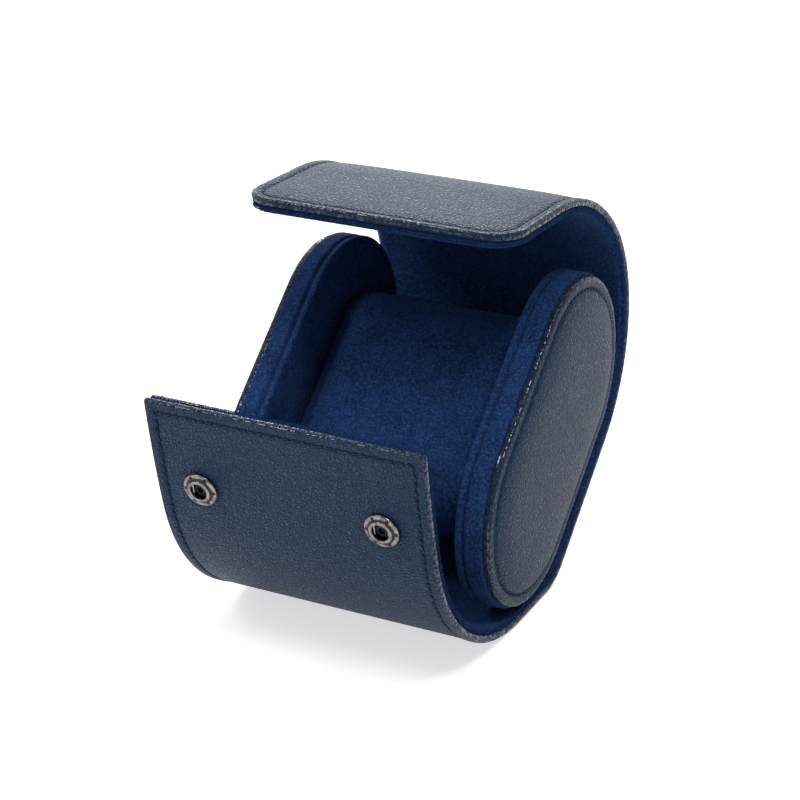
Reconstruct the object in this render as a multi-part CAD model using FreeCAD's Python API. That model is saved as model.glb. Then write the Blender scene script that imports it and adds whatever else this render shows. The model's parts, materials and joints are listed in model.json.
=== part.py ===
import FreeCAD, Part
import math
import os

from FreeCAD import Matrix, Vector

# Leather watch case: a lined leather wrap that snaps shut round an insert with two padded oval end caps
# and a watch pillow. X runs along the case's width, +Y to its back, +Z up, and it stands on Z = 0.
# Sizes are in millimetres and angles in degrees.

# End caps of the insert, ovals with straight sides that lean back
cap_radius = 30.0
cap_straight = 38.0
cap_lean = 49.0
cap_depth = 10.1
cap_proud = 0.6
cap_crown = 2.4
cap_skirt = 2.1
cap_roll = 0.8
face_leather = 1.0
band_proud = 0.8
band_thickness = 2.0
band_round = 0.7
band_groove = 0.6
groove_from_lip = 2.3
cap_lining = 1.2
glue_gap = 0.1

# Rise of a padded face, as (share of the crown, distance in from the edge)
crown_steps = ((0.4, 4.5), (0.8, 12.0), (1.0, 23.0))

# Back board of the insert, and the watch pillow
spine_board = 2.0
spine_lining = 1.4
spine_inset = 1.2
pillow_half_thickness = 17.5
pillow_half_straight = 18.0
pillow_cover = 1.2
pillow_draw_in = 2.4
pillow_gap = 0.3

# Narrowing of the pillow, as (share of its half length, share of the draw-in)
pillow_steps = ((0.6, 0.0), (0.86, 0.12), (0.96, 0.42), (1.0, 1.0))

# Layers of the wrap
wrap_width = 81.0
leather = 1.0
board = 1.2
lining = 1.6
hem = 2.6
lining_inset = 0.7
lid_corner = 10.0
flap_corner = 0.7

# Outer face of the wrap, as it lies open, from the flap's tip to the lid's edge.
# Each slack is how much wider a bend is than the end cap's own round with the wrap tight on it.
flap_length = 33.9
flap_bow = 5.6
front_slack = 22.4
front_turn = 75.5
seat_gap = 0.4
seat_from_front = 6.2
heel_radius = 18.0
back_room = 4.3
slope_extra = 2.8
back_slack = 10.8
back_turn = 95.0
crown_slack = 28.0
crown_turn = 42.3

# Folds, as distances along the outer face from the ends of the flat base, and how far each closes.
# The lid closes until its studs are down in the sockets.
front_fold_at = 9.0
flap_fold_at = 54.0
back_fold_at = 50.0
crown_fold_at = 106.0
lid_fold_at = 150.0
front_close = 30.0
flap_close = 30.0
back_close = 12.0
crown_close = 15.0
leather_fold_gap = 1.4
lining_fold_gap = 0.7
board_stop = 3.0

# Press studs
snap_spread = 53.2
socket_from_tip = 25.0
stud_from_edge = 9.69
socket_radius = 4.95
socket_height = 1.55
socket_shoulder = 0.85
socket_bevel = 0.35
socket_mouth = 2.35
socket_lip = 0.95
lip_bevel = 0.25
socket_plate = 0.35
chamber_radius = 3.2
chamber_top = 0.95
dimples = 6
dimple_radius = 0.4
dimple_depth = 0.25
spring_wire = 0.5
spring_offset = 2.0
spring_bow = 0.12
stud_flange = 4.4
stud_flange_thickness = 0.35
stud_bevel = 0.5
stud_neck = 1.3
stud_neck_round = 0.2
stud_ball = 1.65
stud_ball_depth = 1.15
stud_ball_round = 0.35
stud_crown = 0.4
stud_height = 1.834
stud_clearance = 0.2
rivet_head = 4.0
rivet_head_thickness = 0.5
rivet_shank = 1.4
rivet_wall = 0.4
rivet_flare = 0.2
rivet_flare_width = 0.3
stud_shank = 1.0
rivet_gap = 0.05

X_AXIS = Vector(1, 0, 0)
Z_AXIS = Vector(0, 0, 1)
ORIGIN = Vector(0, 0, 0)
overcut = 1.0

band_radius = cap_radius + band_proud
half_straight = cap_straight / 2
wrap_thickness = leather + board + lining
tight_radius = band_radius + wrap_thickness
slope = 90.0 - cap_lean


def straight(length):
    """A flat run of the wrap: its length and turn."""
    return length, 0.0


def bend(radius, turn):
    """A curved run of the wrap: its length and turn."""
    return radius * math.radians(turn), math.radians(turn)


class Profile:
    """The wrap's outer face in the YZ plane. The inside of the case is on the left of the way it runs."""

    def __init__(self, runs, heading):
        self.starts = []
        self.runs = runs
        s = 0.0
        point = Vector(0, 0, 0)
        for length, turn in runs:
            self.starts.append((s, point, heading))
            point = self.step(point, heading, length, length, turn)[0]
            s += length
            heading += turn
        self.length = s

    def step(self, point, heading, travel, length, turn):
        """Where a run leads after some travel, and the heading there."""
        if turn == 0.0:
            return point + Vector(0, math.cos(heading), math.sin(heading)) * travel, heading
        radius = length / turn
        end = heading + travel / radius
        return point + (inward(heading) - inward(end)) * radius, end

    def shift(self, offset):
        self.starts = [(s, point + offset, heading) for s, point, heading in self.starts]

    def at(self, s, depth=0.0):
        """The point at a distance along the outer face and a depth below it, and the heading there."""
        index = max(i for i, start in enumerate(self.starts) if i == 0 or start[0] <= s)
        begin, point, heading = self.starts[index]
        place, direction = self.step(point, heading, s - begin, *self.runs[index])
        return place + inward(direction) * depth, direction

    def edges(self, first, last, depth):
        """Lines and arcs that follow the face at a depth, from one distance to another."""
        made = []
        for (begin, _, _), (length, turn) in zip(self.starts, self.runs):
            low = max(first, begin)
            high = min(last, begin + length)
            if high - low < 1e-6:
                continue
            ends = [self.at(low + 1e-9, depth)[0], self.at(high - 1e-9, depth)[0]]
            if turn == 0.0:
                made.append(Part.LineSegment(*ends).toShape())
            else:
                middle = self.at((low + high) / 2, depth)[0]
                made.append(Part.Arc(ends[0], middle, ends[1]).toShape())
        return made


def inward(heading):
    """Unit vector into the case, square to the wrap."""
    return Vector(0, -math.sin(heading), math.cos(heading))


def wrap_profile(lid_length):
    """The open wrap, placed so that its flat base lies on Z = 0 and starts at Y = 0."""
    heel_rise = heel_radius * (1 - math.cos(math.radians(slope)))
    seat_height = wrap_thickness + seat_gap + band_radius
    reach = tight_radius + back_room - (seat_height - heel_rise) * math.cos(math.radians(slope))
    base_behind_seat = (reach / math.sin(math.radians(slope))) - heel_radius * math.sin(math.radians(slope))
    runs = [
        bend(flap_length / math.radians(flap_bow), flap_bow),
        bend(tight_radius + front_slack, front_turn),
        straight(seat_from_front + base_behind_seat),
        bend(heel_radius, slope),
        straight(cap_straight + slope_extra),
        bend(tight_radius + back_slack, back_turn),
        bend(tight_radius + crown_slack, crown_turn),
        straight(lid_length),
    ]
    profile = Profile(runs, -math.radians(flap_bow + front_turn))
    profile.shift(profile.starts[2][1] * -1)
    return profile


def turn_about(point, axis, angle):
    """A point turned round an axis along X, in degrees."""
    arm = point - axis
    c = math.cos(math.radians(angle))
    s = math.sin(math.radians(angle))
    return axis + Vector(arm.x, arm.y * c - arm.z * s, arm.y * s + arm.z * c)


def socket_from_lid(lid_close):
    """Where a shut socket lies, seen from the open lid: along its flat inner face, and off it."""
    point = wrap.at(socket_from_tip)[0]
    closing = {"flap": flap_close, "front": front_close, "back": back_close, "crown": crown_close}
    closing["lid"] = lid_close
    for fold, angle in closing.items():
        point = turn_about(point, wrap.at(folds[fold], wrap_thickness)[0], -angle)
    start, heading = wrap.at(lid_start, wrap_thickness)
    along = Vector(0, math.cos(heading), math.sin(heading))
    return (point - start).dot(along), (point - start).dot(inward(heading))


def lid_closing_angle():
    """How far the lid folds for its studs to reach into the sockets, by halving."""
    least, most = 0.0, 90.0
    for _ in range(50):
        angle = (least + most) / 2
        if socket_from_lid(angle)[1] > snap_distance:
            least = angle
        else:
            most = angle
    return angle


wrap = wrap_profile(stud_from_edge)
lid_start = wrap.starts[-1][0]
base_front = wrap.starts[2][0]
base_back = wrap.starts[3][0]
folds = {
    "flap": base_front - flap_fold_at,
    "front": base_front - front_fold_at,
    "back": base_back + back_fold_at,
    "crown": base_back + crown_fold_at,
    "lid": base_back + lid_fold_at,
}
snap_distance = socket_plate + rivet_flare + stud_clearance + stud_height
lid_close = lid_closing_angle()
stud_at = lid_start + socket_from_lid(lid_close)[0]
wrap = wrap_profile(stud_at + stud_from_edge - lid_start)
segments = {
    "flap": (0.0, folds["flap"]),
    "front": (folds["flap"], folds["front"]),
    "base": (folds["front"], folds["back"]),
    "back": (folds["back"], folds["crown"]),
    "crown": (folds["crown"], folds["lid"]),
    "lid": (folds["lid"], wrap.length),
}
stiff_segments = ("flap", "base", "lid")


def layer(first, last, outer, inner, half_width):
    """A sheet of the wrap between two depths below its outer face."""
    ends = [
        Part.LineSegment(wrap.at(first, outer)[0], wrap.at(first, inner)[0]).toShape(),
        Part.LineSegment(wrap.at(last, outer)[0], wrap.at(last, inner)[0]).toShape(),
    ]
    edges = wrap.edges(first, last, outer) + wrap.edges(first, last, inner) + ends
    face = Part.Face(Part.Wire(Part.__sortEdges__(edges)))
    face.translate(X_AXIS * -half_width)
    return face.extrude(X_AXIS * (2 * half_width))


def span(segment, at_fold, at_edge):
    """A segment's stretch of the wrap, drawn back from its folds and from its free edge."""
    first, last = segments[segment]
    first += at_edge if first == 0.0 else at_fold
    last -= at_edge if last == wrap.length else at_fold
    return first, last


def surface_frame(s, depth, across, outward):
    """Matrix to a point of the wrap: local X along the case, local Z out of or into the case."""
    point, heading = wrap.at(s, depth)
    up = inward(heading) * (-1 if outward else 1)
    side = up.cross(X_AXIS)
    return Matrix(
        1, 0, 0, across,
        0, side.y, up.y, point.y,
        0, side.z, up.z, point.z,
        0, 0, 0, 1,
    )


def placed(shape, matrix):
    return shape.transformed(matrix)


def round_corners(sheet, edge, inset, radius, half_width):
    """Round the two corners of a sheet at the flap's tip or the lid's edge."""
    at_tip = edge == 0.0
    place = surface_frame(edge + inset if at_tip else edge - inset, 0.0, 0.0, outward=False)
    into_sheet = 1 if at_tip else -1
    bulge = radius * (1 - math.sqrt(0.5))
    for hand in (1, -1):
        start = Vector(hand * (half_width - radius), 0, 0)
        middle = Vector(hand * (half_width - bulge), into_sheet * bulge, 0)
        finish = Vector(hand * half_width, into_sheet * radius, 0)
        outer = [
            finish + X_AXIS * (hand * overcut),
            Vector(hand * (half_width + overcut), -into_sheet * overcut, 0),
            Vector(hand * (half_width - radius), -into_sheet * overcut, 0),
        ]
        edges = [Part.Arc(start, middle, finish).toShape()]
        corners = [finish] + outer + [start]
        for here, there in zip(corners, corners[1:]):
            edges.append(Part.LineSegment(here, there).toShape())
        corner = Part.Face(Part.Wire(edges))
        corner.translate(Z_AXIS * -overcut)
        cutter = corner.extrude(Z_AXIS * (wrap_thickness + 2 * overcut))
        sheet = sheet.cut(placed(cutter, place))
    return sheet


def trimmed(segment, sheet, inset, half_width):
    """Round the free corners of the flap and the lid, where the inset leaves a round, and no others."""
    corners = {"flap": (0.0, flap_corner), "lid": (wrap.length, lid_corner)}
    if segment not in corners or corners[segment][1] <= inset:
        return sheet
    edge, radius = corners[segment]
    return round_corners(sheet, edge, inset, radius - inset, half_width)


def wrap_leather(segment):
    """Outer leather, with its edges turned in round the board."""
    half_width = wrap_width / 2
    first, last = span(segment, leather_fold_gap / 2, 0.0)
    sheet = trimmed(segment, layer(first, last, 0.0, leather + board, half_width), 0.0, half_width)
    first, last = span(segment, -overcut, hem)
    pocket = layer(first, last, leather, wrap_thickness, half_width - hem)
    return sheet.cut(trimmed(segment, pocket, hem, half_width - hem))


def wrap_board(segment):
    """Stiffener between the leather and the lining, stopped short of the folds."""
    first, last = span(segment, board_stop, hem)
    sheet = layer(first, last, leather, leather + board, wrap_width / 2 - hem)
    return trimmed(segment, sheet, hem, wrap_width / 2 - hem)


def wrap_lining(segment):
    """Suede inside of the wrap."""
    half_width = wrap_width / 2 - lining_inset
    first, last = span(segment, lining_fold_gap / 2, lining_inset)
    sheet = layer(first, last, leather + board, wrap_thickness, half_width)
    return trimmed(segment, sheet, lining_inset, half_width)


def turned(points):
    """A turned piece from its outline, given as (radius, height)."""
    corners = [Vector(radius, 0, height) for radius, height in points]
    return Part.Face(Part.makePolygon(corners + corners[:1])).revolve(ORIGIN, Z_AXIS, 360)


def hexagon(radius, height):
    corners = [Vector(radius, 0, height)]
    for corner in range(6):
        angle = math.radians(60 * (corner + 1))
        corners.append(Vector(radius * math.cos(angle), radius * math.sin(angle), height))
    return Part.makePolygon(corners)


def socket():
    """Spring socket: a domed flange with dimples, and a raised mouth over the spring chamber."""
    bore = rivet_shank + rivet_gap
    lip = socket_mouth + socket_lip
    lip_foot = socket_shoulder + lip_bevel
    shape = turned([
        (bore, 0.0),
        (socket_radius, 0.0),
        (socket_radius, socket_shoulder - socket_bevel),
        (socket_radius - socket_bevel, socket_shoulder),
        (lip + lip_bevel, lip_foot),
        (lip, socket_height),
        (socket_mouth + lip_bevel, socket_height),
        (socket_mouth, socket_height - lip_bevel),
        (socket_mouth, chamber_top),
        (chamber_radius, chamber_top),
        (chamber_radius, socket_plate),
        (bore, socket_plate),
    ])
    ring = (socket_radius + lip) / 2
    sections = [hexagon(dimple_radius / 2, socket_shoulder - dimple_depth), hexagon(dimple_radius, lip_foot)]
    dimple = Part.makeLoft(sections, True, True)
    dimple.translate(X_AXIS * ring)
    for index in range(dimples):
        turned_dimple = dimple.copy()
        turned_dimple.rotate(ORIGIN, Z_AXIS, 360 / dimples * index)
        shape = shape.cut(turned_dimple)
    return shape


def spring(hand):
    """One spring wire, bowed towards the middle of its socket."""
    half_length = math.sqrt((chamber_radius - spring_wire) ** 2 - spring_offset ** 2)
    height = (socket_plate + chamber_top) / 2
    ends = [Vector(hand * (spring_offset + spring_bow), way * half_length, height) for way in (-1, 1)]
    middle = Vector(hand * spring_offset, 0, height)
    path = Part.Wire(Part.Arc(ends[0], middle, ends[1]).toShape())
    start = path.Edges[0]
    tangent = start.tangentAt(start.FirstParameter)
    section = Part.Wire(Part.makeCircle(spring_wire / 2, start.valueAt(start.FirstParameter), tangent))
    return path.makePipeShell([section], True, False)


def socket_rivet():
    """Hollow rivet: its head lies in the board under the lining, and its end is flared in the socket."""
    head = -(leather + board)
    flare = socket_plate + rivet_flare
    return turned([
        (0.0, head),
        (rivet_head, head),
        (rivet_head, head + rivet_head_thickness),
        (rivet_shank, head + rivet_head_thickness),
        (rivet_shank, socket_plate + rivet_gap),
        (rivet_shank + rivet_flare_width, socket_plate + rivet_gap),
        (rivet_shank, flare),
        (rivet_shank - rivet_wall, flare),
        (rivet_shank - rivet_wall, head + rivet_head_thickness),
        (0.0, head + rivet_head_thickness),
    ])


def stud():
    """Stud: a flat flange, a neck and a rounded head."""
    bore = stud_shank + rivet_gap
    ball_low = stud_height - stud_ball_depth
    return turned([
        (bore, 0.0),
        (stud_flange, 0.0),
        (stud_flange, stud_flange_thickness / 2),
        (stud_flange - stud_bevel, stud_flange_thickness),
        (stud_neck + stud_neck_round, stud_flange_thickness),
        (stud_neck, stud_flange_thickness + stud_neck_round),
        (stud_neck, ball_low),
        (stud_ball, ball_low + stud_ball_round),
        (stud_ball, stud_height - stud_ball_round),
        (stud_ball - stud_ball_round, stud_height),
        (0.0, stud_height),
        (0.0, stud_height - stud_crown),
        (bore, stud_height - stud_crown),
    ])


def stud_rivet():
    """Rivet of a stud: its head lies in the board under the leather, and its shank fills the stud."""
    head = -(lining + board)
    end = stud_height - stud_crown - rivet_gap
    return turned([
        (0.0, head),
        (rivet_head, head),
        (rivet_head, head + rivet_head_thickness),
        (stud_shank, head + rivet_head_thickness),
        (stud_shank, end),
        (0.0, end),
    ])


def cylinder(radius, low, high):
    return Part.makeCylinder(radius, high - low, Z_AXIS * low)


def snap_frames(s, depth, outward):
    """The two places of a snap part, one near each side of the case."""
    return [surface_frame(s, depth, hand * snap_spread / 2, outward) for hand in (-1, 1)]


def at_each(shapes, frames):
    return Part.makeCompound([placed(shape, frame) for frame in frames for shape in shapes])


def oval(x, radius, straight_half):
    """An oval with straight sides in the plane X = x, as two lines and four quarter arcs."""
    points = []
    for quarter in range(4):
        centre = straight_half if quarter < 2 else -straight_half
        for step in range(3):
            angle = math.radians(90 * quarter + 45 * step)
            points.append(Vector(x, radius * math.cos(angle), centre + radius * math.sin(angle)))
    edges = []
    for quarter in range(4):
        arc = points[3 * quarter:3 * quarter + 3]
        edges.append(Part.Arc(*arc).toShape())
        if quarter % 2:
            edges.append(Part.LineSegment(arc[2], points[(3 * quarter + 3) % 12]).toShape())
    return Part.Wire(edges)


def oval_loft(sections, straight_half):
    """A solid through ovals given as (x, radius)."""
    wires = [oval(x, radius, straight_half) for x, radius in sections]
    return Part.makeLoft(wires, True, True)


def oval_disc(low, high, radius):
    return Part.Face(oval(low, radius, half_straight)).extrude(X_AXIS * (high - low))


cap_rim = wrap_width / 2 + cap_proud
cap_lip = cap_rim - cap_depth
cap_seam = cap_rim - cap_skirt
core_radius = band_radius - band_thickness - glue_gap


def cap_dome(thinner):
    """The padded face's outline as (x, radius): a skirt, a rolled rim and a low crown."""
    rim = cap_rim - thinner
    edge = cap_radius - thinner
    outline = [(cap_seam, edge), (rim - cap_roll, edge), (rim, edge - cap_roll)]
    for share, inset in crown_steps:
        outline.append((rim + cap_crown * share, edge - inset))
    return outline


def cap_face():
    outside = oval_loft(cap_dome(0.0), half_straight)
    return outside.cut(oval_loft(cap_dome(face_leather), half_straight))


def cap_pad():
    return oval_loft(cap_dome(face_leather + glue_gap), half_straight)


def cap_core():
    return oval_disc(cap_lip + cap_lining, cap_seam, core_radius)


def cap_band():
    """Suede rim: rounded at the lip, with the groove that its stitching pulls in."""
    groove = cap_lip + groove_from_lip
    outline = [
        (cap_lip, band_radius - band_round),
        (cap_lip + band_round, band_radius),
        (groove - band_groove, band_radius),
        (groove, band_radius - band_groove),
        (groove + band_groove, band_radius),
        (cap_seam - band_round, band_radius),
        (cap_seam, band_radius - band_round),
    ]
    hole = oval_disc(cap_lip - overcut, cap_seam + overcut, band_radius - band_thickness)
    return oval_loft(outline, half_straight).cut(hole)


def cap_inner():
    return oval_disc(cap_lip, cap_lip + cap_lining, core_radius)


def spine(outer, thickness):
    """A flat strip between the end caps along their back straight sides."""
    half_length = cap_lip - glue_gap / 2
    corner = Vector(-half_length, outer - thickness, -half_straight)
    return Part.makeBox(2 * half_length, thickness, cap_straight, corner)


def pillow(shrink):
    """A soft bolster: fullest in the middle, with its ends drawn in."""
    half_length = cap_lip - pillow_gap - shrink
    full = pillow_half_thickness - shrink
    right = [(half_length * along, full - pillow_draw_in * share) for along, share in pillow_steps]
    left = [(-x, radius) for x, radius in reversed(right)]
    return oval_loft(left + right, pillow_half_straight)


def build():
    """Every piece by name: the wrap where it stands, and the insert upright round its own centre."""
    shell = {}
    for segment in segments:
        middle = "board" if segment in stiff_segments else "interlining"
        shell[segment + "_leather"] = wrap_leather(segment)
        shell[segment + "_" + middle] = wrap_board(segment)
        shell[segment + "_lining"] = wrap_lining(segment)

    sockets = snap_frames(socket_from_tip, 0.0, outward=True)
    studs = snap_frames(stud_at, wrap_thickness, outward=False)
    shell["snap_sockets"] = at_each([socket()], sockets)
    shell["snap_springs"] = at_each([spring(1), spring(-1)], sockets)
    shell["socket_rivets"] = at_each([socket_rivet()], sockets)
    shell["snap_studs"] = at_each([stud()], studs)
    shell["stud_rivets"] = at_each([stud_rivet()], studs)

    head = rivet_head + rivet_gap
    in_board = -(leather + board)
    socket_hole = cylinder(rivet_shank + rivet_gap, in_board - overcut, overcut)
    socket_seat = cylinder(head, in_board - overcut, in_board + rivet_head_thickness + rivet_gap)
    shell["flap_leather"] = shell["flap_leather"].cut(at_each([socket_hole], sockets))
    shell["flap_board"] = shell["flap_board"].cut(at_each([socket_hole.fuse(socket_seat)], sockets))
    under_leather = -(lining + board)
    stud_hole = cylinder(stud_shank + rivet_gap, under_leather - overcut, overcut)
    stud_seat = cylinder(head, under_leather - overcut, under_leather + rivet_head_thickness + rivet_gap)
    shell["lid_board"] = shell["lid_board"].cut(at_each([stud_hole.fuse(stud_seat)], studs))
    shell["lid_lining"] = shell["lid_lining"].cut(at_each([stud_hole], studs))

    insert = {}
    makers = {"face": cap_face, "pad": cap_pad, "core": cap_core, "band": cap_band, "lining": cap_inner}
    for name, maker in makers.items():
        right = maker()
        insert["right_cap_" + name] = right
        insert["left_cap_" + name] = right.mirror(ORIGIN, X_AXIS)
    behind = band_radius - spine_inset
    insert["spine_board"] = spine(behind, spine_board)
    insert["spine_lining"] = spine(behind - spine_board, spine_lining)
    insert["pillow_cover"] = pillow(0.0).cut(pillow(pillow_cover))
    insert["pillow_foam"] = pillow(pillow_cover + glue_gap)
    return shell, insert


def insert_centre():
    """Middle of the end caps, when the insert rests on the lining over the flat base."""
    lean = math.radians(cap_lean)
    height = wrap_thickness + seat_gap + band_radius + half_straight * math.cos(lean)
    return Vector(0, seat_from_front + half_straight * math.sin(lean), height)


def main():
    shell, insert = build()
    centre = insert_centre()
    for shape in insert.values():
        shape.rotate(ORIGIN, X_AXIS, -cap_lean)
        shape.translate(centre)
    pieces = {**shell, **insert}

    # The origin is under the middle of the case.
    box = Part.makeCompound(list(pieces.values())).optimalBoundingBox(False, False)
    to_origin = Vector(0, -(box.YMin + box.YMax) / 2, 0)
    os.makedirs("parts", exist_ok=True)
    for name, shape in pieces.items():
        shape.translate(to_origin)
        shape.exportStep("parts/" + name + ".step")

    print("box", [round(value, 3) for value in (box.XLength, box.YLength, box.ZLength, box.ZMin)])
    print("insert centre", [round(value, 4) for value in centre + to_origin])
    for name, s in folds.items():
        axis = wrap.at(s, wrap_thickness)[0] + to_origin
        print("fold", name, [round(value, 4) for value in axis])
    print("lid closes", round(lid_close, 4), "flat run of the lid", round(wrap.length - lid_start, 3))
    for name, shape in pieces.items():
        print(name, len(shape.Solids), shape.isValid(), round(shape.Volume, 1))


main()
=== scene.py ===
import json
import math
from typing import NamedTuple

import bmesh
import bpy
import numpy as np
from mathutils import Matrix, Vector


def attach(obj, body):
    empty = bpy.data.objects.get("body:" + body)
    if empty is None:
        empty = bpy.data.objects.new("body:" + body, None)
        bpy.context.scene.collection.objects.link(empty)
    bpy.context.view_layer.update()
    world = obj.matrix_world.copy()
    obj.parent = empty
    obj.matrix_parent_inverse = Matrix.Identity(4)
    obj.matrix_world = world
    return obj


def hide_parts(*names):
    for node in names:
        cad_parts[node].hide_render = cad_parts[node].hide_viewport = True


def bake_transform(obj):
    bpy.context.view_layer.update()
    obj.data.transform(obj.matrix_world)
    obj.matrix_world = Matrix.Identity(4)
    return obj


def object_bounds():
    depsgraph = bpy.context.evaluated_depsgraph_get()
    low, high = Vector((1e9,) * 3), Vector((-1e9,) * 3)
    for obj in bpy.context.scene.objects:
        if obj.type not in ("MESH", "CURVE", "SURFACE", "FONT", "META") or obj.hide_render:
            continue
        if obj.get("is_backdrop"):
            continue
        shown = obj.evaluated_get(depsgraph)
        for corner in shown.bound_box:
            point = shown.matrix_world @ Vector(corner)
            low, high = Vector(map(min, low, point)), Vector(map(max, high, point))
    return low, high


bl_info = {
    "name": "Leather Watch Case",
    "version": (1, 0, 0),
    "blender": (4, 5, 0),
    "location": "View3D > Sidebar > Watch Case",
    "description": "Covers the frame of a watch case with its leather, suede, stitching and press studs",
    "category": "Add Mesh",
}

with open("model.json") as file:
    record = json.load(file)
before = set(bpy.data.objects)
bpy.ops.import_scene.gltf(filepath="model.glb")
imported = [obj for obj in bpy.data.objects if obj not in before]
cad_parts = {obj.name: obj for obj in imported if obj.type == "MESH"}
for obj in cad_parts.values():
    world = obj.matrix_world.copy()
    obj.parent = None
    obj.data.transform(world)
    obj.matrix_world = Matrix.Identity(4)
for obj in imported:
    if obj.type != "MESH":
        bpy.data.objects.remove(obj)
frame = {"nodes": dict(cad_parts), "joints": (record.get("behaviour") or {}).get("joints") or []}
cad_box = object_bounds()
joint_places = {joint["name"]: Vector(joint["pos_m"]) for joint in frame["joints"]}

MM = 0.001
WELD = 0.001 * MM  # points nearer to each other than this are one point
BLACK, WHITE = (0.0, 0.0, 0.0, 1.0), (1.0, 1.0, 1.0, 1.0)


# Settings that a user would change. Lengths are written in millimetres and kept in metres.

def setting(name, description, value, **kind):
    return bpy.props.FloatProperty(name=name, description=description, default=value, **kind)


def length(name, description, millimetres):
    return setting(name, description, millimetres * MM, precision=5, unit="LENGTH")


def angle(name, description, degrees):
    return setting(name, description, math.radians(degrees), precision=3, subtype="ANGLE")


def share(name, description, value):
    return setting(name, description, value, min=0.0, max=1.0, subtype="FACTOR")


def power(name, description, watts):
    return setting(name, description, watts, unit="POWER")


def colour(name, description, *tones):
    return bpy.props.FloatVectorProperty(
        name=name, description=description, default=(*tones, 1.0), size=4, subtype="COLOR"
    )


def group(name, description, sizes):
    return bpy.props.PointerProperty(name=name, description=description, type=sizes)


class WrapSizes(bpy.types.PropertyGroup):
    width: length("Width", "Leather from side to side", 81.0)
    leather: length("Leather", "Thickness of the leather", 1.0)
    edge: length("Turned edge", "Thickness of the leather where it is turned over its board", 2.2)
    hem: length("Hem", "Width of the turned edge on the inside", 2.6)
    lining: length("Lining", "Thickness of the suede lining", 1.6)
    lining_inset: length("Lining inset", "How far the lining stays in from the leather's edge", 0.7)
    lid_corner: length("Lid corner", "Radius of the lid's corners", 10.0)
    flap_corner: length("Flap corner", "Radius of the flap's corners", 0.7)
    flap_length: length("Flap", "Length of the flap's stiff run", 33.9)
    flap_bow: angle("Flap bow", "Turn of the flap's stiff run", 5.6)
    front_radius: length("Front radius", "Radius of the bend under the flap", 57.0)
    front_turn: angle("Front turn", "Turn of the bend under the flap", 75.5)
    base_length: length("Base", "Length of the flat base", 18.5)
    heel_radius: length("Heel radius", "Radius of the bend behind the base", 18.0)
    heel_turn: angle("Heel turn", "Turn of the bend behind the base", 41.0)
    slope_length: length("Slope", "Length of the straight run up the back", 40.8)
    back_radius: length("Back radius", "Radius of the bend up the back", 45.4)
    back_turn: angle("Back turn", "Turn of the bend up the back", 95.0)
    crown_radius: length("Crown radius", "Radius of the bend over the insert", 62.6)
    crown_turn: angle("Crown turn", "Turn of the bend over the insert", 42.3)
    lid_length: length("Lid", "Length of the lid's flat run", 32.7)
    front_fold_at: length("Front fold", "Distance of the front fold from the flat base", 9.0)
    fold_reach: length("Fold reach", "How far a fold's bending spreads to each side", 17.0)
    mesh_step: length("Mesh step", "Distance between the sheet's rows of points", 1.5)
    edge_round: length("Edge round", "How far the turned edge's rounding reaches in", 0.75)
    lining_round: length("Lining round", "How far the lining's rounding reaches in", 0.6)
    lining_swell: length("Lining swell", "How much thicker the lining's free edges look", 0.5)
    welt: length("Welt", "Height of the raised edge outside the stitching", 0.25)
    groove: length("Groove", "How far the stitching pulls the leather in", 0.32)
    snap_swell: length("Swell", "How far the leather rises round a press stud", 0.25)
    lid_pad: length("Lid padding", "How far the lid's leather rises inside its stitching", 0.8)
    pad_rise: length("Padding rise", "Distance over which the lid's padding rises most", 6.0)


class StitchSizes(bpy.types.PropertyGroup):
    from_edge: length("From edge", "Distance of the stitching from the leather's edge", 3.2)
    pitch: length("Pitch", "Distance from stitch to stitch", 2.45)
    length: length("Length", "Length of a stitch", 1.95)
    width: length("Width", "Width of the thread", 0.6)
    height: length("Height", "Height of the thread", 0.55)
    slant: angle("Slant", "Turn of a stitch against its line", 7.0)
    sink: length("Sink", "Depth of the thread's middle in its groove", 0.36)
    fine: share("Fine thread", "Size of the thread in the suede bands against the leather's", 0.62)


class NapSizes(bpy.types.PropertyGroup):
    spacing: length("Spacing", "Distance between fibres along an edge", 0.045)
    length: length("Length", "Length of the longest fibres", 0.6)
    thickness: length("Thickness", "Thickness of a fibre at its root", 0.2)
    spread: angle("Spread", "How far the fibres lean away from each other", 40.0)


class CapSizes(bpy.types.PropertyGroup):
    radius: length("Radius", "Radius of an end cap's round ends", 30.0)
    straight: length("Straight", "Length of an end cap's straight sides", 38.0)
    lean: angle("Lean", "How far the insert leans back", 49.0)
    rim: length("Rim", "Distance of a cap's rolled rim from the middle of the case", 41.1)
    seam: length("Seam", "Distance of the seam between leather and suede from the middle", 39.0)
    lip: length("Lip", "Distance of a cap's inner face from the middle of the case", 31.0)
    roll: length("Roll", "Radius of the rolled rim", 1.1)
    crown: length("Crown", "How far the padded face rises over its rim", 2.4)
    crown_rise: length("Rise", "Distance over which the padding rises most", 5.0)
    stitch_inset: length("Stitch inset", "Distance of the face's stitching from its edge", 3.6)
    groove: length("Groove", "How far the stitching pulls the face in", 0.5)
    band_radius: length("Band radius", "Radius of the suede band", 30.8)
    band_thickness: length("Band", "Thickness of the suede band", 2.0)
    band_roll: length("Band roll", "Radius of the suede band's edges", 0.8)
    band_groove: length("Band groove", "Depth of the suede band's stitched groove", 0.9)
    groove_from_lip: length("Groove place", "Distance of the band's groove from the inner face", 2.3)
    core_radius: length("Inner face", "Radius of the suede on a cap's inner face", 28.7)
    inner_lining: length("Inner suede", "Thickness of the suede on a cap's inner face", 1.2)
    spine_from: length("Spine front", "Distance of the back board's front from the insert's middle", 26.2)
    spine_to: length("Spine back", "Distance of the back board's back from the insert's middle", 29.6)


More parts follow.
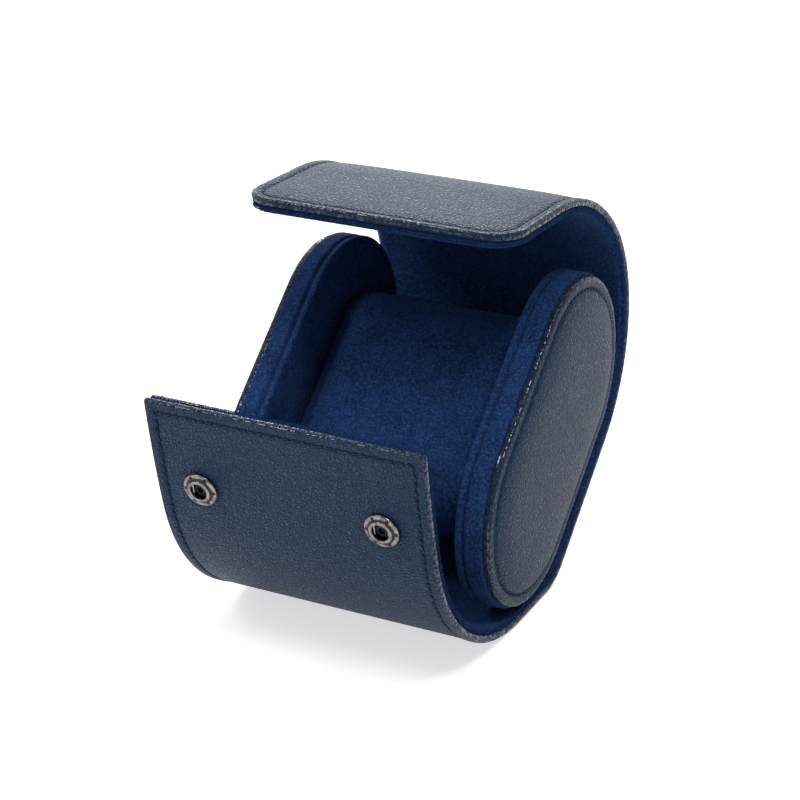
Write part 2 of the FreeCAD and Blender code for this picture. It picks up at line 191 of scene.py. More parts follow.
class PillowSizes(bpy.types.PropertyGroup):
    half_length: length("Half length", "Half the length of the pillow", 30.7)
    half_thickness: length("Half thickness", "Half the thickness of the pillow", 17.5)
    straight: length("Straight", "Length of the pillow's straight sides", 36.0)
    draw_in: length("Draw-in", "How far the pillow's ends are drawn in", 2.4)
    slack: length("Slack", "How much smaller the cover is cut than it ends up", 0.9)
    voxel: length("Voxel", "Size of the cover's cells for the cloth", 1.8)
    most: length("Most", "How far a point of the cover may move", 1.1)
    pressure: setting("Pressure", "Pressure of the foam on the cover", 4.0)


class SnapSizes(bpy.types.PropertyGroup):
    spread: length("Spread", "Distance between the two press studs", 53.2)
    socket_from_tip: length("Socket place", "Distance of the sockets from the flap's tip", 25.0)
    stud_from_edge: length("Stud place", "Distance of the studs from the lid's edge", 9.69)
    socket_radius: length("Socket radius", "Radius of a socket's flange", 4.95)
    socket_height: length("Socket height", "Height of a socket's mouth", 1.55)
    shoulder: length("Shoulder", "Height of a socket's flange", 0.85)
    mouth: length("Mouth", "Radius of a socket's mouth", 2.35)
    lip: length("Lip", "Width of the ring round a socket's mouth", 0.95)
    chamber: length("Chamber", "Radius of the chamber for the springs", 3.2)
    chamber_top: length("Chamber top", "Height of the chamber's roof", 0.95)
    plate: length("Plate", "Thickness of a socket's floor", 0.35)
    bore: length("Bore", "Radius of the hole for the rivet", 1.45)
    dimples: bpy.props.IntProperty(name="Dimples", description="Dimples round a socket", default=6, min=0)
    dimple_radius: length("Dimple radius", "Radius of a dimple", 0.52)
    dimple_depth: length("Dimple depth", "Depth of a dimple", 0.3)
    stud_flange: length("Stud flange", "Radius of a stud's flange", 4.4)
    stud_plate: length("Stud plate", "Thickness of a stud's flange", 0.35)
    stud_neck: length("Stud neck", "Radius of a stud's neck", 1.3)
    stud_ball: length("Stud head", "Radius of a stud's head", 1.65)
    stud_ball_depth: length("Head depth", "Depth of a stud's head", 1.15)
    stud_height: length("Stud height", "Height of a stud", 1.834)


class CaseColours(bpy.types.PropertyGroup):
    leather: colour("Leather", "Colour of the leather", 0.013, 0.055, 0.135)
    leather_low: colour("Leather creases", "Colour between the leather's grains", 0.009, 0.036, 0.088)
    # Painted shade: the leather's rolled edges are darkened towards this colour, standing in for the shade on
    # edges that face away from the lamps.
    leather_edge: colour("Leather edges", "Colour of the leather's dressed edges", 0.005, 0.02, 0.055)
    suede: colour("Suede", "Colour of the suede", 0.016, 0.05, 0.165)
    suede_low: colour("Suede shade", "Colour of the suede's brushed-down nap", 0.007, 0.02, 0.066)
    suede_high: colour("Suede nap", "Colour of the suede's raised nap", 0.034, 0.1, 0.31)
    sheen: colour("Suede sheen", "Colour of the light along the suede's nap", 0.35, 0.5, 0.9)
    thread: colour("Thread", "Colour of the sewing thread", 0.005, 0.013, 0.034)
    metal: colour("Metal", "Colour of the press studs", 0.33, 0.315, 0.3)
    # Besides real tarnish in patches, this colour paints shade into the sockets' dimples, the cove round
    # their ring, their mouths and their undersides.
    metal_dark: colour("Metal in dents", "Colour of the press studs' tarnish", 0.045, 0.04, 0.038)
    steel: colour("Springs", "Colour of the spring wire", 0.55, 0.54, 0.52)
    brass: colour("Rivets", "Colour of the rivets", 0.55, 0.40, 0.16)
    board: colour("Board", "Colour of the fibre board", 0.19, 0.13, 0.08)
    # Painted shade: the rivets inside the sockets are coloured near black so that the sockets' mouths look
    # shaded.
    rivet: colour("Socket rivets", "Colour of the dark rivets in the sockets", 0.045, 0.042, 0.04)
    floor: colour("Floor", "Colour of the floor", 0.84, 0.84, 0.84)


class StageSizes(bpy.types.PropertyGroup):
    camera_place: bpy.props.FloatVectorProperty(
        name="Camera", description="Place of the camera", default=(0.2517, -0.5033, 0.2985),
        size=3, subtype="TRANSLATION", unit="LENGTH",
    )
    azimuth: angle("Azimuth", "Turn of the camera round the case", 26.656)
    elevation: angle("Elevation", "Height of the camera over the horizon", 23.231)
    lens: setting("Lens", "Focal length", 98.58, unit="CAMERA")
    sky: share("Sky", "Strength of the light from all round", 0.34)
    glow: setting("Glow", "Strength of the bright backdrop's light", 1.15)
    glow_azimuth: angle("Glow azimuth", "Turn of the bright backdrop from the back to the left", 27.0)
    glow_height: angle("Glow height", "Height of the bright backdrop over the horizon", 18.0)
    key_light: power("Right key light", "Power of the lamp over the right front", 2.4)
    side_light: power("Left key light", "Power of the lamp over the left front", 1.44)
    top_light: power("Top light", "Power of the soft lamp over the case", 1.6)
    back_light: power("Back light", "Power of the small lamp behind the case", 1.3)
    front_light: power("Front light", "Power of the low lamp at the left front", 0.4)
    floor_radius: length("Floor", "Radius of the floor", 900.0)
    floor_lift: share("Floor lift", "White that the camera sees in the floor besides its light", 0.62)
    mirrored_lift: share("Mirrored lift", "Share of that white in the floor's reflections", 0.6)


class CaseSettings(bpy.types.PropertyGroup):
    wrap: group("Wrap", "Sizes of the wrap", WrapSizes)
    stitch: group("Stitches", "Sizes of the stitches", StitchSizes)
    nap: group("Nap", "Sizes of the suede's fibres", NapSizes)
    cap: group("End caps", "Sizes of the end caps", CapSizes)
    pillow: group("Pillow", "Sizes of the pillow", PillowSizes)
    snap: group("Press studs", "Sizes of the press studs", SnapSizes)
    colours: group("Colours", "Colours of the case", CaseColours)
    stage: group("Stage", "Camera and light", StageSizes)


# Nodes, for finishes and for Geometry Nodes trees

def math_node(operation, turned=False):
    """A method that adds a Math node to a wire's tree. Turned, the wire is its second input."""
    def method(wire, other):
        first, second = (other, wire) if turned else (wire, other)
        return wire.nodes.add("ShaderNodeMath", {"operation": operation}, {0: first, 1: second})
    return method


class Wire:
    """An output of a node that takes part in arithmetic: each operation adds a Math node."""

    def __init__(self, nodes, output):
        self.nodes = nodes
        self.output = output

    __add__, __radd__ = math_node("ADD"), math_node("ADD", True)
    __sub__, __rsub__ = math_node("SUBTRACT"), math_node("SUBTRACT", True)
    __mul__, __rmul__ = math_node("MULTIPLY"), math_node("MULTIPLY", True)


class Nodes:
    """A node tree that is filled node by node."""

    def __init__(self, tree):
        self.tree = tree

    def add(self, kind, settings=None, inputs=None, output=0):
        """A new node: its settings come first, then its inputs' values or links."""
        node = self.tree.nodes.new(kind)
        for name, value in (settings or {}).items():
            setattr(node, name, value)
        for name, value in (inputs or {}).items():
            self.feed(node.inputs[name], value)
        return Wire(self, node.outputs[output])

    def feed(self, target, value):
        if isinstance(value, Wire):
            self.tree.links.new(value.output, target)
        else:
            target.default_value = value

    def eased(self, value, low, high):
        """A value that goes smoothly from 0 at low to 1 at high."""
        inputs = {"Value": value, "From Min": low, "From Max": high}
        return self.add("ShaderNodeMapRange", {"interpolation_type": "SMOOTHSTEP"}, inputs)


class Finish(Nodes):
    """A procedural material on the case's own coordinates."""

    def __init__(self, name):
        self.material = bpy.data.materials.new(name)
        self.material.use_nodes = True
        super().__init__(self.material.node_tree)
        self.shader = self.tree.nodes["Principled BSDF"]
        self.place = self.add("ShaderNodeTexCoord", output="Object")

    def finished(self, inputs):
        """The material, with the shader's sockets fed."""
        for name, value in inputs.items():
            self.feed(self.shader.inputs[name], value)
        return self.material

    def noise(self, size, detail=2.0, place=None, output="Fac"):
        """Soft noise whose lumps are about this size."""
        inputs = {"Vector": place or self.place, "Scale": 1.0 / size, "Detail": detail}
        return self.add("ShaderNodeTexNoise", {}, inputs, output)

    def cells(self, size, place):
        """Distance from the border between cells of about this size, as a share of a cell."""
        inputs = {"Vector": place, "Scale": 1.0 / size}
        return self.add("ShaderNodeTexVoronoi", {"feature": "DISTANCE_TO_EDGE"}, inputs, "Distance")

    def stirred(self, size, amount):
        """The coordinates, pushed about by noise."""
        push = self.noise(size, 2.0, output="Color")
        inputs = {0: push, 1: (amount, amount, amount), 2: self.place}
        return self.add("ShaderNodeVectorMath", {"operation": "MULTIPLY_ADD"}, inputs)

    def mix(self, factor, first, second):
        inputs = {0: factor, 6: first, 7: second}
        return self.add("ShaderNodeMix", {"data_type": "RGBA"}, inputs, 2)

    def attribute(self, name):
        return self.add("ShaderNodeAttribute", {"attribute_name": name}, {}, "Fac")

    def bump(self, height, depth, strength=1.0):
        inputs = {"Strength": strength, "Distance": depth, "Height": height}
        return self.add("ShaderNodeBump", {}, inputs)


# Finishes: each maker gives what feeds the shader

def leather_finish(finish, colours):
    """Pebbled leather: small rounded grains with darker creases, and edges darkened with painted shade that
    carry small glints.
    """
    stirred = finish.stirred(2.0 * MM, 1.2 * MM)
    grain = finish.eased(finish.cells(1.05 * MM, stirred), 0.0, 0.36)
    pores = finish.noise(0.4 * MM, 3.0)
    patches = finish.noise(17.0 * MM, 3.0)
    rim = finish.attribute("rim")
    tone = finish.eased(0.7 * grain + 0.3 * pores + 0.4 * patches, 0.3, 1.0)
    base = finish.mix(tone, colours.leather_low, colours.leather)
    return {
        # Towards the edges the colour goes over to the painted edge shade.
        "Base Color": finish.mix(0.7 * rim, base, colours.leather_edge),
        "Roughness": 0.45 - 0.17 * grain + 0.06 * patches,
        "Specular IOR Level": 0.28,
        "Coat Weight": rim * finish.eased(finish.noise(0.8 * MM, 1.0), 0.5, 0.58),
        "Coat Roughness": 0.1,
        "Normal": finish.bump(grain + 0.3 * pores, 0.56 * MM),
    }


def suede_finish(finish, colours):
    """Brushed suede: a fine nap that lies lighter and darker in soft patches."""
    brushed = finish.noise(6.0 * MM, 4.0, finish.stirred(9.0 * MM, 6.0 * MM))
    nap = finish.noise(0.7 * MM, 4.0)
    fibres = finish.noise(0.4 * MM, 2.0)
    base = finish.mix(finish.eased(0.4 * brushed + 0.6 * nap, 0.32, 0.66), colours.suede_low, colours.suede)
    lifted = finish.eased(0.5 * nap + 0.5 * fibres, 0.46, 0.74)
    return {
        "Base Color": finish.mix(lifted, base, colours.suede_high),
        "Roughness": 0.86 + 0.12 * nap,
        "Specular IOR Level": 0.1,
        "Sheen Weight": 0.08,
        "Sheen Roughness": 0.45,
        "Sheen Tint": colours.sheen,
        "Normal": finish.bump(0.6 * nap + 0.5 * fibres, 0.35 * MM, 0.8),
    }


def fringe_finish(finish, colours):
    """Loose fibres of the suede, lighter than its face."""
    strands = finish.noise(0.9 * MM, 2.0)
    return {
        "Base Color": finish.mix(finish.eased(strands, 0.3, 0.7), colours.suede, colours.suede_high),
        "Roughness": 0.9 + 0.1 * strands,
        "Specular IOR Level": 0.05,
    }


def thread_finish(finish, dark, light):
    """Waxed thread, with a fine twist."""
    twist = finish.noise(0.22 * MM, 1.0)
    return {
        "Base Color": finish.mix(twist, dark, light),
        "Roughness": 0.35 + 0.2 * twist,
        "Specular IOR Level": 0.2,
        "Normal": finish.bump(twist, 0.1 * MM, 0.5),
    }


def metal_finish(finish, bright, dull, roughness):
    """Plated metal, with faint scuffs, darker tarnish in patches, and painted shade in its dents and
    recesses.
    """
    scuffs = finish.noise(0.35 * MM, 4.0)
    patches = finish.noise(1.5 * MM, 2.0)
    # The recess mark adds painted shade in the sockets' hollows to the real tarnish patches.
    tarnish_and_recess_shade = finish.eased(0.9 * patches + 1.2 * finish.attribute("dent"), 0.3, 0.8)
    return {
        "Base Color": finish.mix(tarnish_and_recess_shade, bright, dull),
        "Metallic": 1.0,
        "Roughness": roughness + 0.18 * scuffs,
        "Normal": finish.bump(scuffs, 0.02 * MM, 0.4),
    }


def board_finish(finish, colours):
    """Pressed fibre board, with flecks."""
    flecks = finish.noise(0.6 * MM, 4.0)
    return {
        "Base Color": finish.mix(finish.eased(flecks, 0.35, 0.7), colours.board, colours.brass),
        "Roughness": 0.75 + 0.2 * flecks,
        "Normal": finish.bump(flecks, 0.1 * MM, 0.4),
    }


FINISH_MAKERS = {
    "pebbled_leather": leather_finish,
    "brushed_suede": suede_finish,
    "suede_fringe": fringe_finish,
    "waxed_thread": lambda finish, tones: thread_finish(finish, tones.thread, tones.leather_low),
    "suede_thread": lambda finish, tones: thread_finish(finish, tones.thread, tones.suede_low),
    # The sockets' rivets are darkened as painted shade in their mouths.
    "dark_rivet": lambda finish, tones: metal_finish(finish, tones.rivet, tones.thread, 0.4),
    "gunmetal_plate": lambda finish, tones: metal_finish(finish, tones.metal, tones.metal_dark, 0.2),
    "spring_wire": lambda finish, tones: metal_finish(finish, tones.steel, tones.metal, 0.22),
    "brass_rivet": lambda finish, tones: metal_finish(finish, tones.brass, tones.metal_dark, 0.3),
    "pressed_board": board_finish,
}


def finish_named(name, settings):
    """The finish of this name, made the first time that it is needed."""
    if name not in bpy.data.materials:
        finish = Finish(name)
        finish.finished(FINISH_MAKERS[name](finish, settings.colours))
    return bpy.data.materials[name]


# Mesh helpers

def new_object(name, data, material=None):
    piece = bpy.data.objects.new(name, data)
    bpy.context.scene.collection.objects.link(piece)
    if material:
        data.materials.append(material)
    return piece


def mesh_piece(name, points, faces, material, merge=False, sharp=55.0, **marks):
    """A smooth piece whose edges stay crisp above an angle in degrees, with marks on its points."""
    mesh = bpy.data.meshes.new(name)
    mesh.from_pydata(np.asarray(points).reshape(-1, 3).tolist(), [], faces)
    for label, values in marks.items():
        store(mesh, label, np.ravel(values))
    if merge:
        shell = bmesh.new()
        shell.from_mesh(mesh)
        bmesh.ops.remove_doubles(shell, verts=shell.verts, dist=WELD)
        bmesh.ops.recalc_face_normals(shell, faces=shell.faces)
        shell.to_mesh(mesh)
        shell.free()
    mesh.shade_smooth()
    mesh.set_sharp_from_angle(angle=math.radians(sharp))
    return new_object(name, mesh, material)


def store(mesh, name, values):
    """Keeps a number or a vector for each point of a mesh."""
    values = np.asarray(values, np.float32)
    kind, field = ("FLOAT", "value") if values.ndim == 1 else ("FLOAT_VECTOR", "vector")
    mesh.attributes.new(name, kind, "POINT").data.foreach_set(field, values.ravel())


def grid_faces(ids):
    """Four-sided faces between the rows of a grid of point numbers, without repeated points."""
    corners = np.stack([ids[:-1, :-1], ids[:-1, 1:], ids[1:, 1:], ids[1:, :-1]], -1).reshape(-1, 4)
    faces = [list(dict.fromkeys(face)) for face in corners.tolist()]
    return [face for face in faces if len(face) > 2]


def ring_faces(rings, closed):
    """Faces between rings of points, also from the last ring to the first where they close."""
    ids = np.arange(rings.shape[0] * rings.shape[1]).reshape(rings.shape[:2])
    ids = np.concatenate((ids, ids[:, :1]), 1)
    if closed:
        ids = np.concatenate((ids, ids[:1]), 0)
    return grid_faces(ids)


def applied(piece):
    """The mesh that a piece's modifiers make of it. They are taken off the piece."""
    seen = piece.evaluated_get(bpy.context.evaluated_depsgraph_get())
    mesh = bpy.data.meshes.new_from_object(seen)
    piece.modifiers.clear()
    return mesh


def modified(piece, kind, **values):
    """Changes a piece's mesh by a modifier."""
    modifier = piece.modifiers.new(kind, kind)
    for name, value in values.items():
        setattr(modifier, name, value)
    piece.data = applied(piece)


def bell(value, middle, width):
    """A smooth rise to 1 at a middle value and back."""
    return np.exp(-((value - middle) / width) ** 2)


def rolled(distance, reach, drop):
    """Drop of a rounded edge at a distance in from it. The rounding reaches in and drops this far."""
    short = np.clip(1.0 - distance / reach, 0.0, 1.0)
    return drop * (1.0 - np.sqrt(1.0 - short ** 2))


# The wrap: one line seen from the side, and the flat cut of the sheets that follow it

class WrapLine:
    """The wrap's outer face seen from the side, from the flap's tip to the lid's edge."""

    def __init__(self, wrap):
        runs = np.array((
            (wrap.flap_length, wrap.flap_bow),
            (wrap.front_radius * wrap.front_turn, wrap.front_turn),
            (wrap.base_length, 0.0),
            (wrap.heel_radius * wrap.heel_turn, wrap.heel_turn),
            (wrap.slope_length, 0.0),
            (wrap.back_radius * wrap.back_turn, wrap.back_turn),
            (wrap.crown_radius * wrap.crown_turn, wrap.crown_turn),
            (wrap.lid_length, 0.0),
        ))
        self.starts = np.concatenate(([0.0], np.cumsum(runs[:, 0])))
        self.length = self.starts[-1]
        self.bends = runs[:, 1] / runs[:, 0]
        level = -wrap.flap_bow - wrap.front_turn
        self.headings = level + np.concatenate(([0.0], np.cumsum(runs[:, 1])))
        self.corners = np.zeros((len(runs) + 1, 2))
        for run in range(len(runs)):
            self.corners[run + 1] = self.outer(self.starts[run + 1], run)[0]
        self.thickness = wrap.edge + wrap.lining
        self.base = (self.starts[2], self.starts[3])
        fold = self.place(0.0, self.base[0] - wrap.front_fold_at, self.thickness)
        self.corners += np.array(joint_places["front_fold"])[1:] - fold[1:]

    def outer(self, s, run):
        """Point and heading on a run of the line."""
        travel = s - self.starts[run]
        half_turn = self.bends[run] * travel / 2
        chord = travel * np.sinc(half_turn / np.pi)
        middle = self.headings[run] + half_turn
        step = np.stack([chord * np.cos(middle), chord * np.sin(middle)], -1)
        return self.corners[run] + step, self.headings[run] + 2 * half_turn

    def run_at(self, s):
        return np.clip(np.searchsorted(self.starts, s, side="right") - 1, 0, len(self.bends) - 1)

    def outward(self, s):
        """Direction out of the wrap."""
        heading = self.outer(np.asarray(s), self.run_at(s))[1]
        return np.stack([np.zeros_like(heading), np.sin(heading), -np.cos(heading)], -1)

    def place(self, x, s, depth):
        """Point at x across the wrap, s along it and this deep under its outer face."""
        x, s, depth = np.broadcast_arrays(x, s, depth)
        point, _ = self.outer(s, self.run_at(s))
        point = np.concatenate([x[..., None], point], -1)
        return point - self.outward(s) * depth[..., None]

    def nearest(self, point):
        """Distance along the line to the place nearest to a point of its inner face."""
        s = np.linspace(0.0, self.length, 4001)
        gaps = self.place(0.0, s, self.thickness) - np.array(point)
        return s[np.argmin((gaps[:, 1:] ** 2).sum(1))]


class Cut:
    """The flat cut of one of the wrap's sheets, with its corners rounded."""

    least_corner = 0.3 * MM

    def __init__(self, line, wrap, inset):
        self.half_width = wrap.width / 2 - inset
        self.first = inset
        self.last = line.length - inset
        self.first_corner = wrap.flap_corner - inset
        self.last_corner = wrap.lid_corner - inset

    def edge_distance(self, x, s):
        return np.minimum(self.half_width - np.abs(x), np.minimum(s - self.first, self.last - s))

    def rounded(self, x, s):
        """Moves the points of the square corners onto arcs, at the same distance from the edge."""
        for corner, to_end, way in (
            (self.first_corner, s - self.first, -1), (self.last_corner, self.last - s, 1)
        ):
            across = corner - (self.half_width - np.abs(x))
            beyond = corner - to_end
            inside = (across > 0) & (beyond > 0)
            most = np.where(inside, np.maximum(across, beyond), 1.0)
            turn = np.pi / 4 * np.where(inside, np.minimum(across, beyond), 0.0) / most
            long, short = most * np.cos(turn), most * np.sin(turn)
            out = np.where(across >= beyond, long, short)
            up = np.where(across >= beyond, short, long)
            end = self.last if way > 0 else self.first
            x = np.where(inside, np.sign(x) * (self.half_width - corner + out), x)
            s = np.where(inside, end - way * (corner - up), s)
        return x, s

    def seam(self, inset, begin, end, trim):
        """Lines at a distance in from the edge on one stretch: both sides, or one line round a free end."""
        half = self.half_width - inset
        free_first, free_last = begin <= self.first, end >= self.last
        if not (free_first or free_last):
            ends = (begin + trim, end - trim)
            return [np.array([(side * half, s) for s in ends]) for side in (-1, 1)]
        way = 1 if free_last else -1
        edge = self.last - inset if free_last else self.first + inset
        corner = max((self.last_corner if free_last else self.first_corner) - inset, self.least_corner)
        far = begin + trim if free_last else end - trim
        turns = np.linspace(0.0, np.pi / 2, 10)
        x = half - corner + corner * np.cos(turns)
        s = edge - way * (corner - corner * np.sin(turns))
        right = np.stack([x, s], -1)
        left = np.stack([-x, s], -1)[::-1]
        return [np.concatenate(([(half, far)], right, left, [(-half, far)]))]


def dense(points, step):
    """Points at even steps along a line of corners."""
    gaps = np.linalg.norm(np.diff(points, axis=0), axis=1)
    along = np.concatenate(([0.0], np.cumsum(gaps)))
    wanted = np.linspace(0.0, along[-1], max(2, round(along[-1] / step) + 1))
    return np.stack([np.interp(wanted, along, column) for column in points.T], -1)


class Stretch(NamedTuple):
    """A stretch of the wrap that bends at one fold, between two bodies."""
    name: str
    before: str
    after: str
    begin: float
    fold: float
    end: float

    def bend(self, piece, line, reach):
        """Bakes a piece's placement into its mesh."""
        middle = line.thickness / 2
        start = line.place(0.0, self.fold - reach, middle)
        end = line.place(0.0, self.fold + reach, middle)
        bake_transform(piece)


def stretches(line):
    """The wrap's five stretches, cut midway between the folds and in the middle of the base."""
    chain = ("flap", "front", "cradle", "back", "crown", "lid")
    names = ("flap", "front", "back", "crown", "lid")
    places = [line.nearest(joint_places[name + "_fold"]) for name in names]
    cuts = [(first + second) / 2 for first, second in zip(places, places[1:])]
    cuts[1] = sum(line.base) / 2
    cuts = [0.0] + cuts + [line.length]
    return [Stretch(name, *chain[n:n + 2], cuts[n], places[n], cuts[n + 1]) for n, name in enumerate(names)]


def edge_steps(reach, extra):
    """Distances from an edge for the rows of points that follow its rounded shape."""
    turns = np.linspace(0.0, np.pi / 2, 8)
    return np.concatenate((reach * (1 - np.cos(turns)), np.array(extra) * MM))


def spaced(low, high, step):
    """Places between two ends, without the ends."""
    return np.linspace(low, high, max(2, round((high - low) / step) + 1))[1:-1]


# The leather's finish paints shade over this width of its edges.
EDGE_WIDTH = 0.75 * MM  # of the sheets' dark and glinting edges


def sheet_piece(name, line, cut, stretch, steps, step, front, back, material):
    """A closed sheet on one stretch of the wrap. Front and back give its depth by distance from its edge."""
    half = cut.half_width
    side = half - steps
    x = np.concatenate((-side, spaced(-side[-1], side[-1], step), side[::-1]))
    begin, end = max(stretch.begin, cut.first), min(stretch.end, cut.last)
    hair = np.array((0.0, 0.1 * MM))
    lead = cut.first + steps if stretch.begin <= 0.0 else begin + hair
    tail = cut.last - steps if stretch.end >= line.length else end - hair
    s = np.concatenate((lead, spaced(lead[-1], tail[-1], step), tail[::-1]))
    x, s = np.meshgrid(x, s)
    distance = np.maximum(cut.edge_distance(x, s), 0.0)
    x, s = cut.rounded(x, s)
    outer = line.place(x, s, front(distance, x, s))
    inner = line.place(x, s, back(distance, x, s))
    outer_ids = np.arange(x.size).reshape(x.shape)
    loose = distance > WELD
    inner_ids = outer_ids.copy()
    inner_ids[loose] = x.size + np.arange(loose.sum())
    faces = grid_faces(outer_ids[:, ::-1]) + grid_faces(inner_ids)
    faces += grid_faces(np.stack([outer_ids[0], inner_ids[0]]))
    faces += grid_faces(np.stack([inner_ids[-1], outer_ids[-1]]))
    points = np.concatenate((outer.reshape(-1, 3), inner[loose]))
    # The rim mark is where the leather's finish paints its edge shade.
    rim = bell(distance, 0.0, EDGE_WIDTH)
    return mesh_piece(name, points, faces, material, rim=np.concatenate((rim.ravel(), rim[loose])))


# Geometry Nodes for stitches, nap and press studs

def geometry_tree(name, inputs):
    """A new Geometry Nodes tree with named inputs, and its inputs as wires."""
    tree = bpy.data.node_groups.new(name, "GeometryNodeTree")
    tree.interface.new_socket("Geometry", in_out="INPUT", socket_type="NodeSocketGeometry")
    for label, kind in inputs.items():
        tree.interface.new_socket(label, in_out="INPUT", socket_type="NodeSocket" + kind)
    tree.interface.new_socket("Geometry", in_out="OUTPUT", socket_type="NodeSocketGeometry")
    nodes = Nodes(tree)
    given = tree.nodes.new("NodeGroupInput")
    return nodes, {output.name: Wire(nodes, output) for output in given.outputs if output.name}


STITCH_SIZES = ("Pitch", "Length", "Width", "Height", "Slant")
NAP_SIZES = ("Spacing", "Length", "Thickness", "Spread")


def line_tree(name, step, sizes):
    """A tree for things along a line: its nodes, its inputs, and points at even steps along the line."""
    nodes, given = geometry_tree(name, dict.fromkeys(sizes, "Float") | {"Material": "Material"})
    curve = nodes.add("GeometryNodeMeshToCurve", {}, {"Mesh": given["Geometry"]})
    places = {"Curve": curve, "Length": given[step]}
    return nodes, given, nodes.add("GeometryNodeResampleCurve", {"mode": "LENGTH"}, places)


def end_tree(nodes, given, points, instance, rotation, scale=(1.0, 1.0, 1.0)):
    """Lays an instance at each point, makes it real, gives it its finish and sends it out."""
    laid = {"Points": points, "Instance": instance, "Rotation": rotation, "Scale": scale}
    laid = nodes.add("GeometryNodeInstanceOnPoints", {}, laid)
    real = nodes.add("GeometryNodeRealizeInstances", {}, {"Geometry": laid})
    done = nodes.add("GeometryNodeSetMaterial", {}, {"Geometry": real, "Material": given["Material"]})
    nodes.feed(nodes.tree.nodes.new("NodeGroupOutput").inputs[0], done)
    return nodes.tree


def upright(nodes, along):
    """Turns an instance's Z to the stored outward direction and its X along the line."""
    up = nodes.add("GeometryNodeInputNamedAttribute", {"data_type": "FLOAT_VECTOR"}, {"Name": "up"})
    axes = {"primary_axis": "Z", "secondary_axis": "X"}
    return nodes.add("FunctionNodeAxesToRotation", axes, {"Primary Axis": up, "Secondary Axis": along})


def along_line(nodes, turn):
    """Stands an instance upright on its line, and turns it once more in its own frame."""
    rotation = upright(nodes, nodes.add("GeometryNodeInputTangent"))
    inputs = {"Rotation": rotation, "Rotate By": turn}
    return nodes.add("FunctionNodeRotateRotation", {"rotation_space": "LOCAL"}, inputs)


def vector(nodes, **parts):
    return nodes.add("ShaderNodeCombineXYZ", {}, parts)


def stitch_tree():
    """Stitches laid one after another along a line."""
    nodes, given, points = line_tree("Stitches", "Pitch", STITCH_SIZES)
    slant = {"Axis": (0.0, 0.0, 1.0), "Angle": given["Slant"]}
    rotation = along_line(nodes, nodes.add("FunctionNodeAxisAngleToRotation", {}, slant))
    grain = nodes.add("GeometryNodeMeshUVSphere", {}, {"Segments": 10, "Rings": 6, "Radius": 0.5})
    smooth = nodes.add("GeometryNodeSetShadeSmooth", {}, {0: grain})
    size = vector(nodes, X=given["Length"], Y=given["Width"], Z=given["Height"])
    return end_tree(nodes, given, points, smooth, rotation, size)


def nap_tree():
    """Short fibres that stand out along a line and lean all ways."""
    nodes, given, points = line_tree("Nap", "Spacing", NAP_SIZES)

    def chance(low, high, seed):
        limits = {"Min": low, "Max": high, "Seed": seed}
        return nodes.add("FunctionNodeRandomValue", {"data_type": "FLOAT"}, limits, 1)

    lean = {axis: given["Spread"] * chance(-1.0, 1.0, seed) for seed, axis in enumerate("XY", 1)}
    turn = nodes.add("FunctionNodeEulerToRotation", {}, {"Euler": vector(nodes, **lean)})
    shape = {"Vertices": 3, "Radius Top": 0.12, "Radius Bottom": 0.5, "Depth": 1.0}
    fibre = nodes.add("GeometryNodeMeshCone", {"fill_type": "NGON"}, shape)
    sides = {"X": given["Thickness"], "Y": given["Thickness"], "Z": given["Length"] * chance(0.25, 1.0, 3)}
    return end_tree(nodes, given, points, fibre, along_line(nodes, turn), vector(nodes, **sides))


def snap_tree():
    """A press stud part at each of a few points."""
    nodes, given = geometry_tree("Press studs", {"Part": "Object", "Material": "Material"})
    part = nodes.add("GeometryNodeObjectInfo", {}, {"Object": given["Part"]}, "Geometry")
    return end_tree(nodes, given, given["Geometry"], part, upright(nodes, (1.0, 0.0, 0.0)))


TREE_MAKERS = {"Stitches": stitch_tree, "Nap": nap_tree, "Press studs": snap_tree}


def laid_piece(name, tree_name, lines, values, closed=False):
    """A plain mesh of what a tree lays along lines, each given as points and outward directions."""
    tree = bpy.data.node_groups.get(tree_name) or TREE_MAKERS[tree_name]()
    edges, start = [], 0
    for points, _ in lines:
        last = start + len(points) - 1
        edges += [(n, n + 1) for n in range(start, last)]
        if closed:
            edges.append((last, start))
        start = last + 1
    mesh = bpy.data.meshes.new(name + "_line")
    mesh.from_pydata(np.concatenate([points for points, _ in lines]).tolist(), edges, [])
    store(mesh, "up", np.concatenate([ups for _, ups in lines]))
    piece = new_object(name, mesh)
    modifier = piece.modifiers.new(tree_name, "NODES")
    modifier.node_group = tree
    for item in tree.interface.items_tree:
        if item.in_out == "INPUT" and item.name in values:
            modifier[item.identifier] = values[item.name]
    piece.data = applied(piece)
    piece.data.name = name
    return piece


def tree_values(sizes, names, material):
    """Values for a tree's inputs, from the settings of the same names."""
    return {name: getattr(sizes, name.lower()) for name in names} | {"Material": material}


def stitch_values(settings, thread="waxed_thread", size=1.0):
    values = tree_values(settings.stitch, STITCH_SIZES, finish_named(thread, settings))
    return values | {side: values[side] * size for side in ("Width", "Height")}


# The insert: ovals that lean back

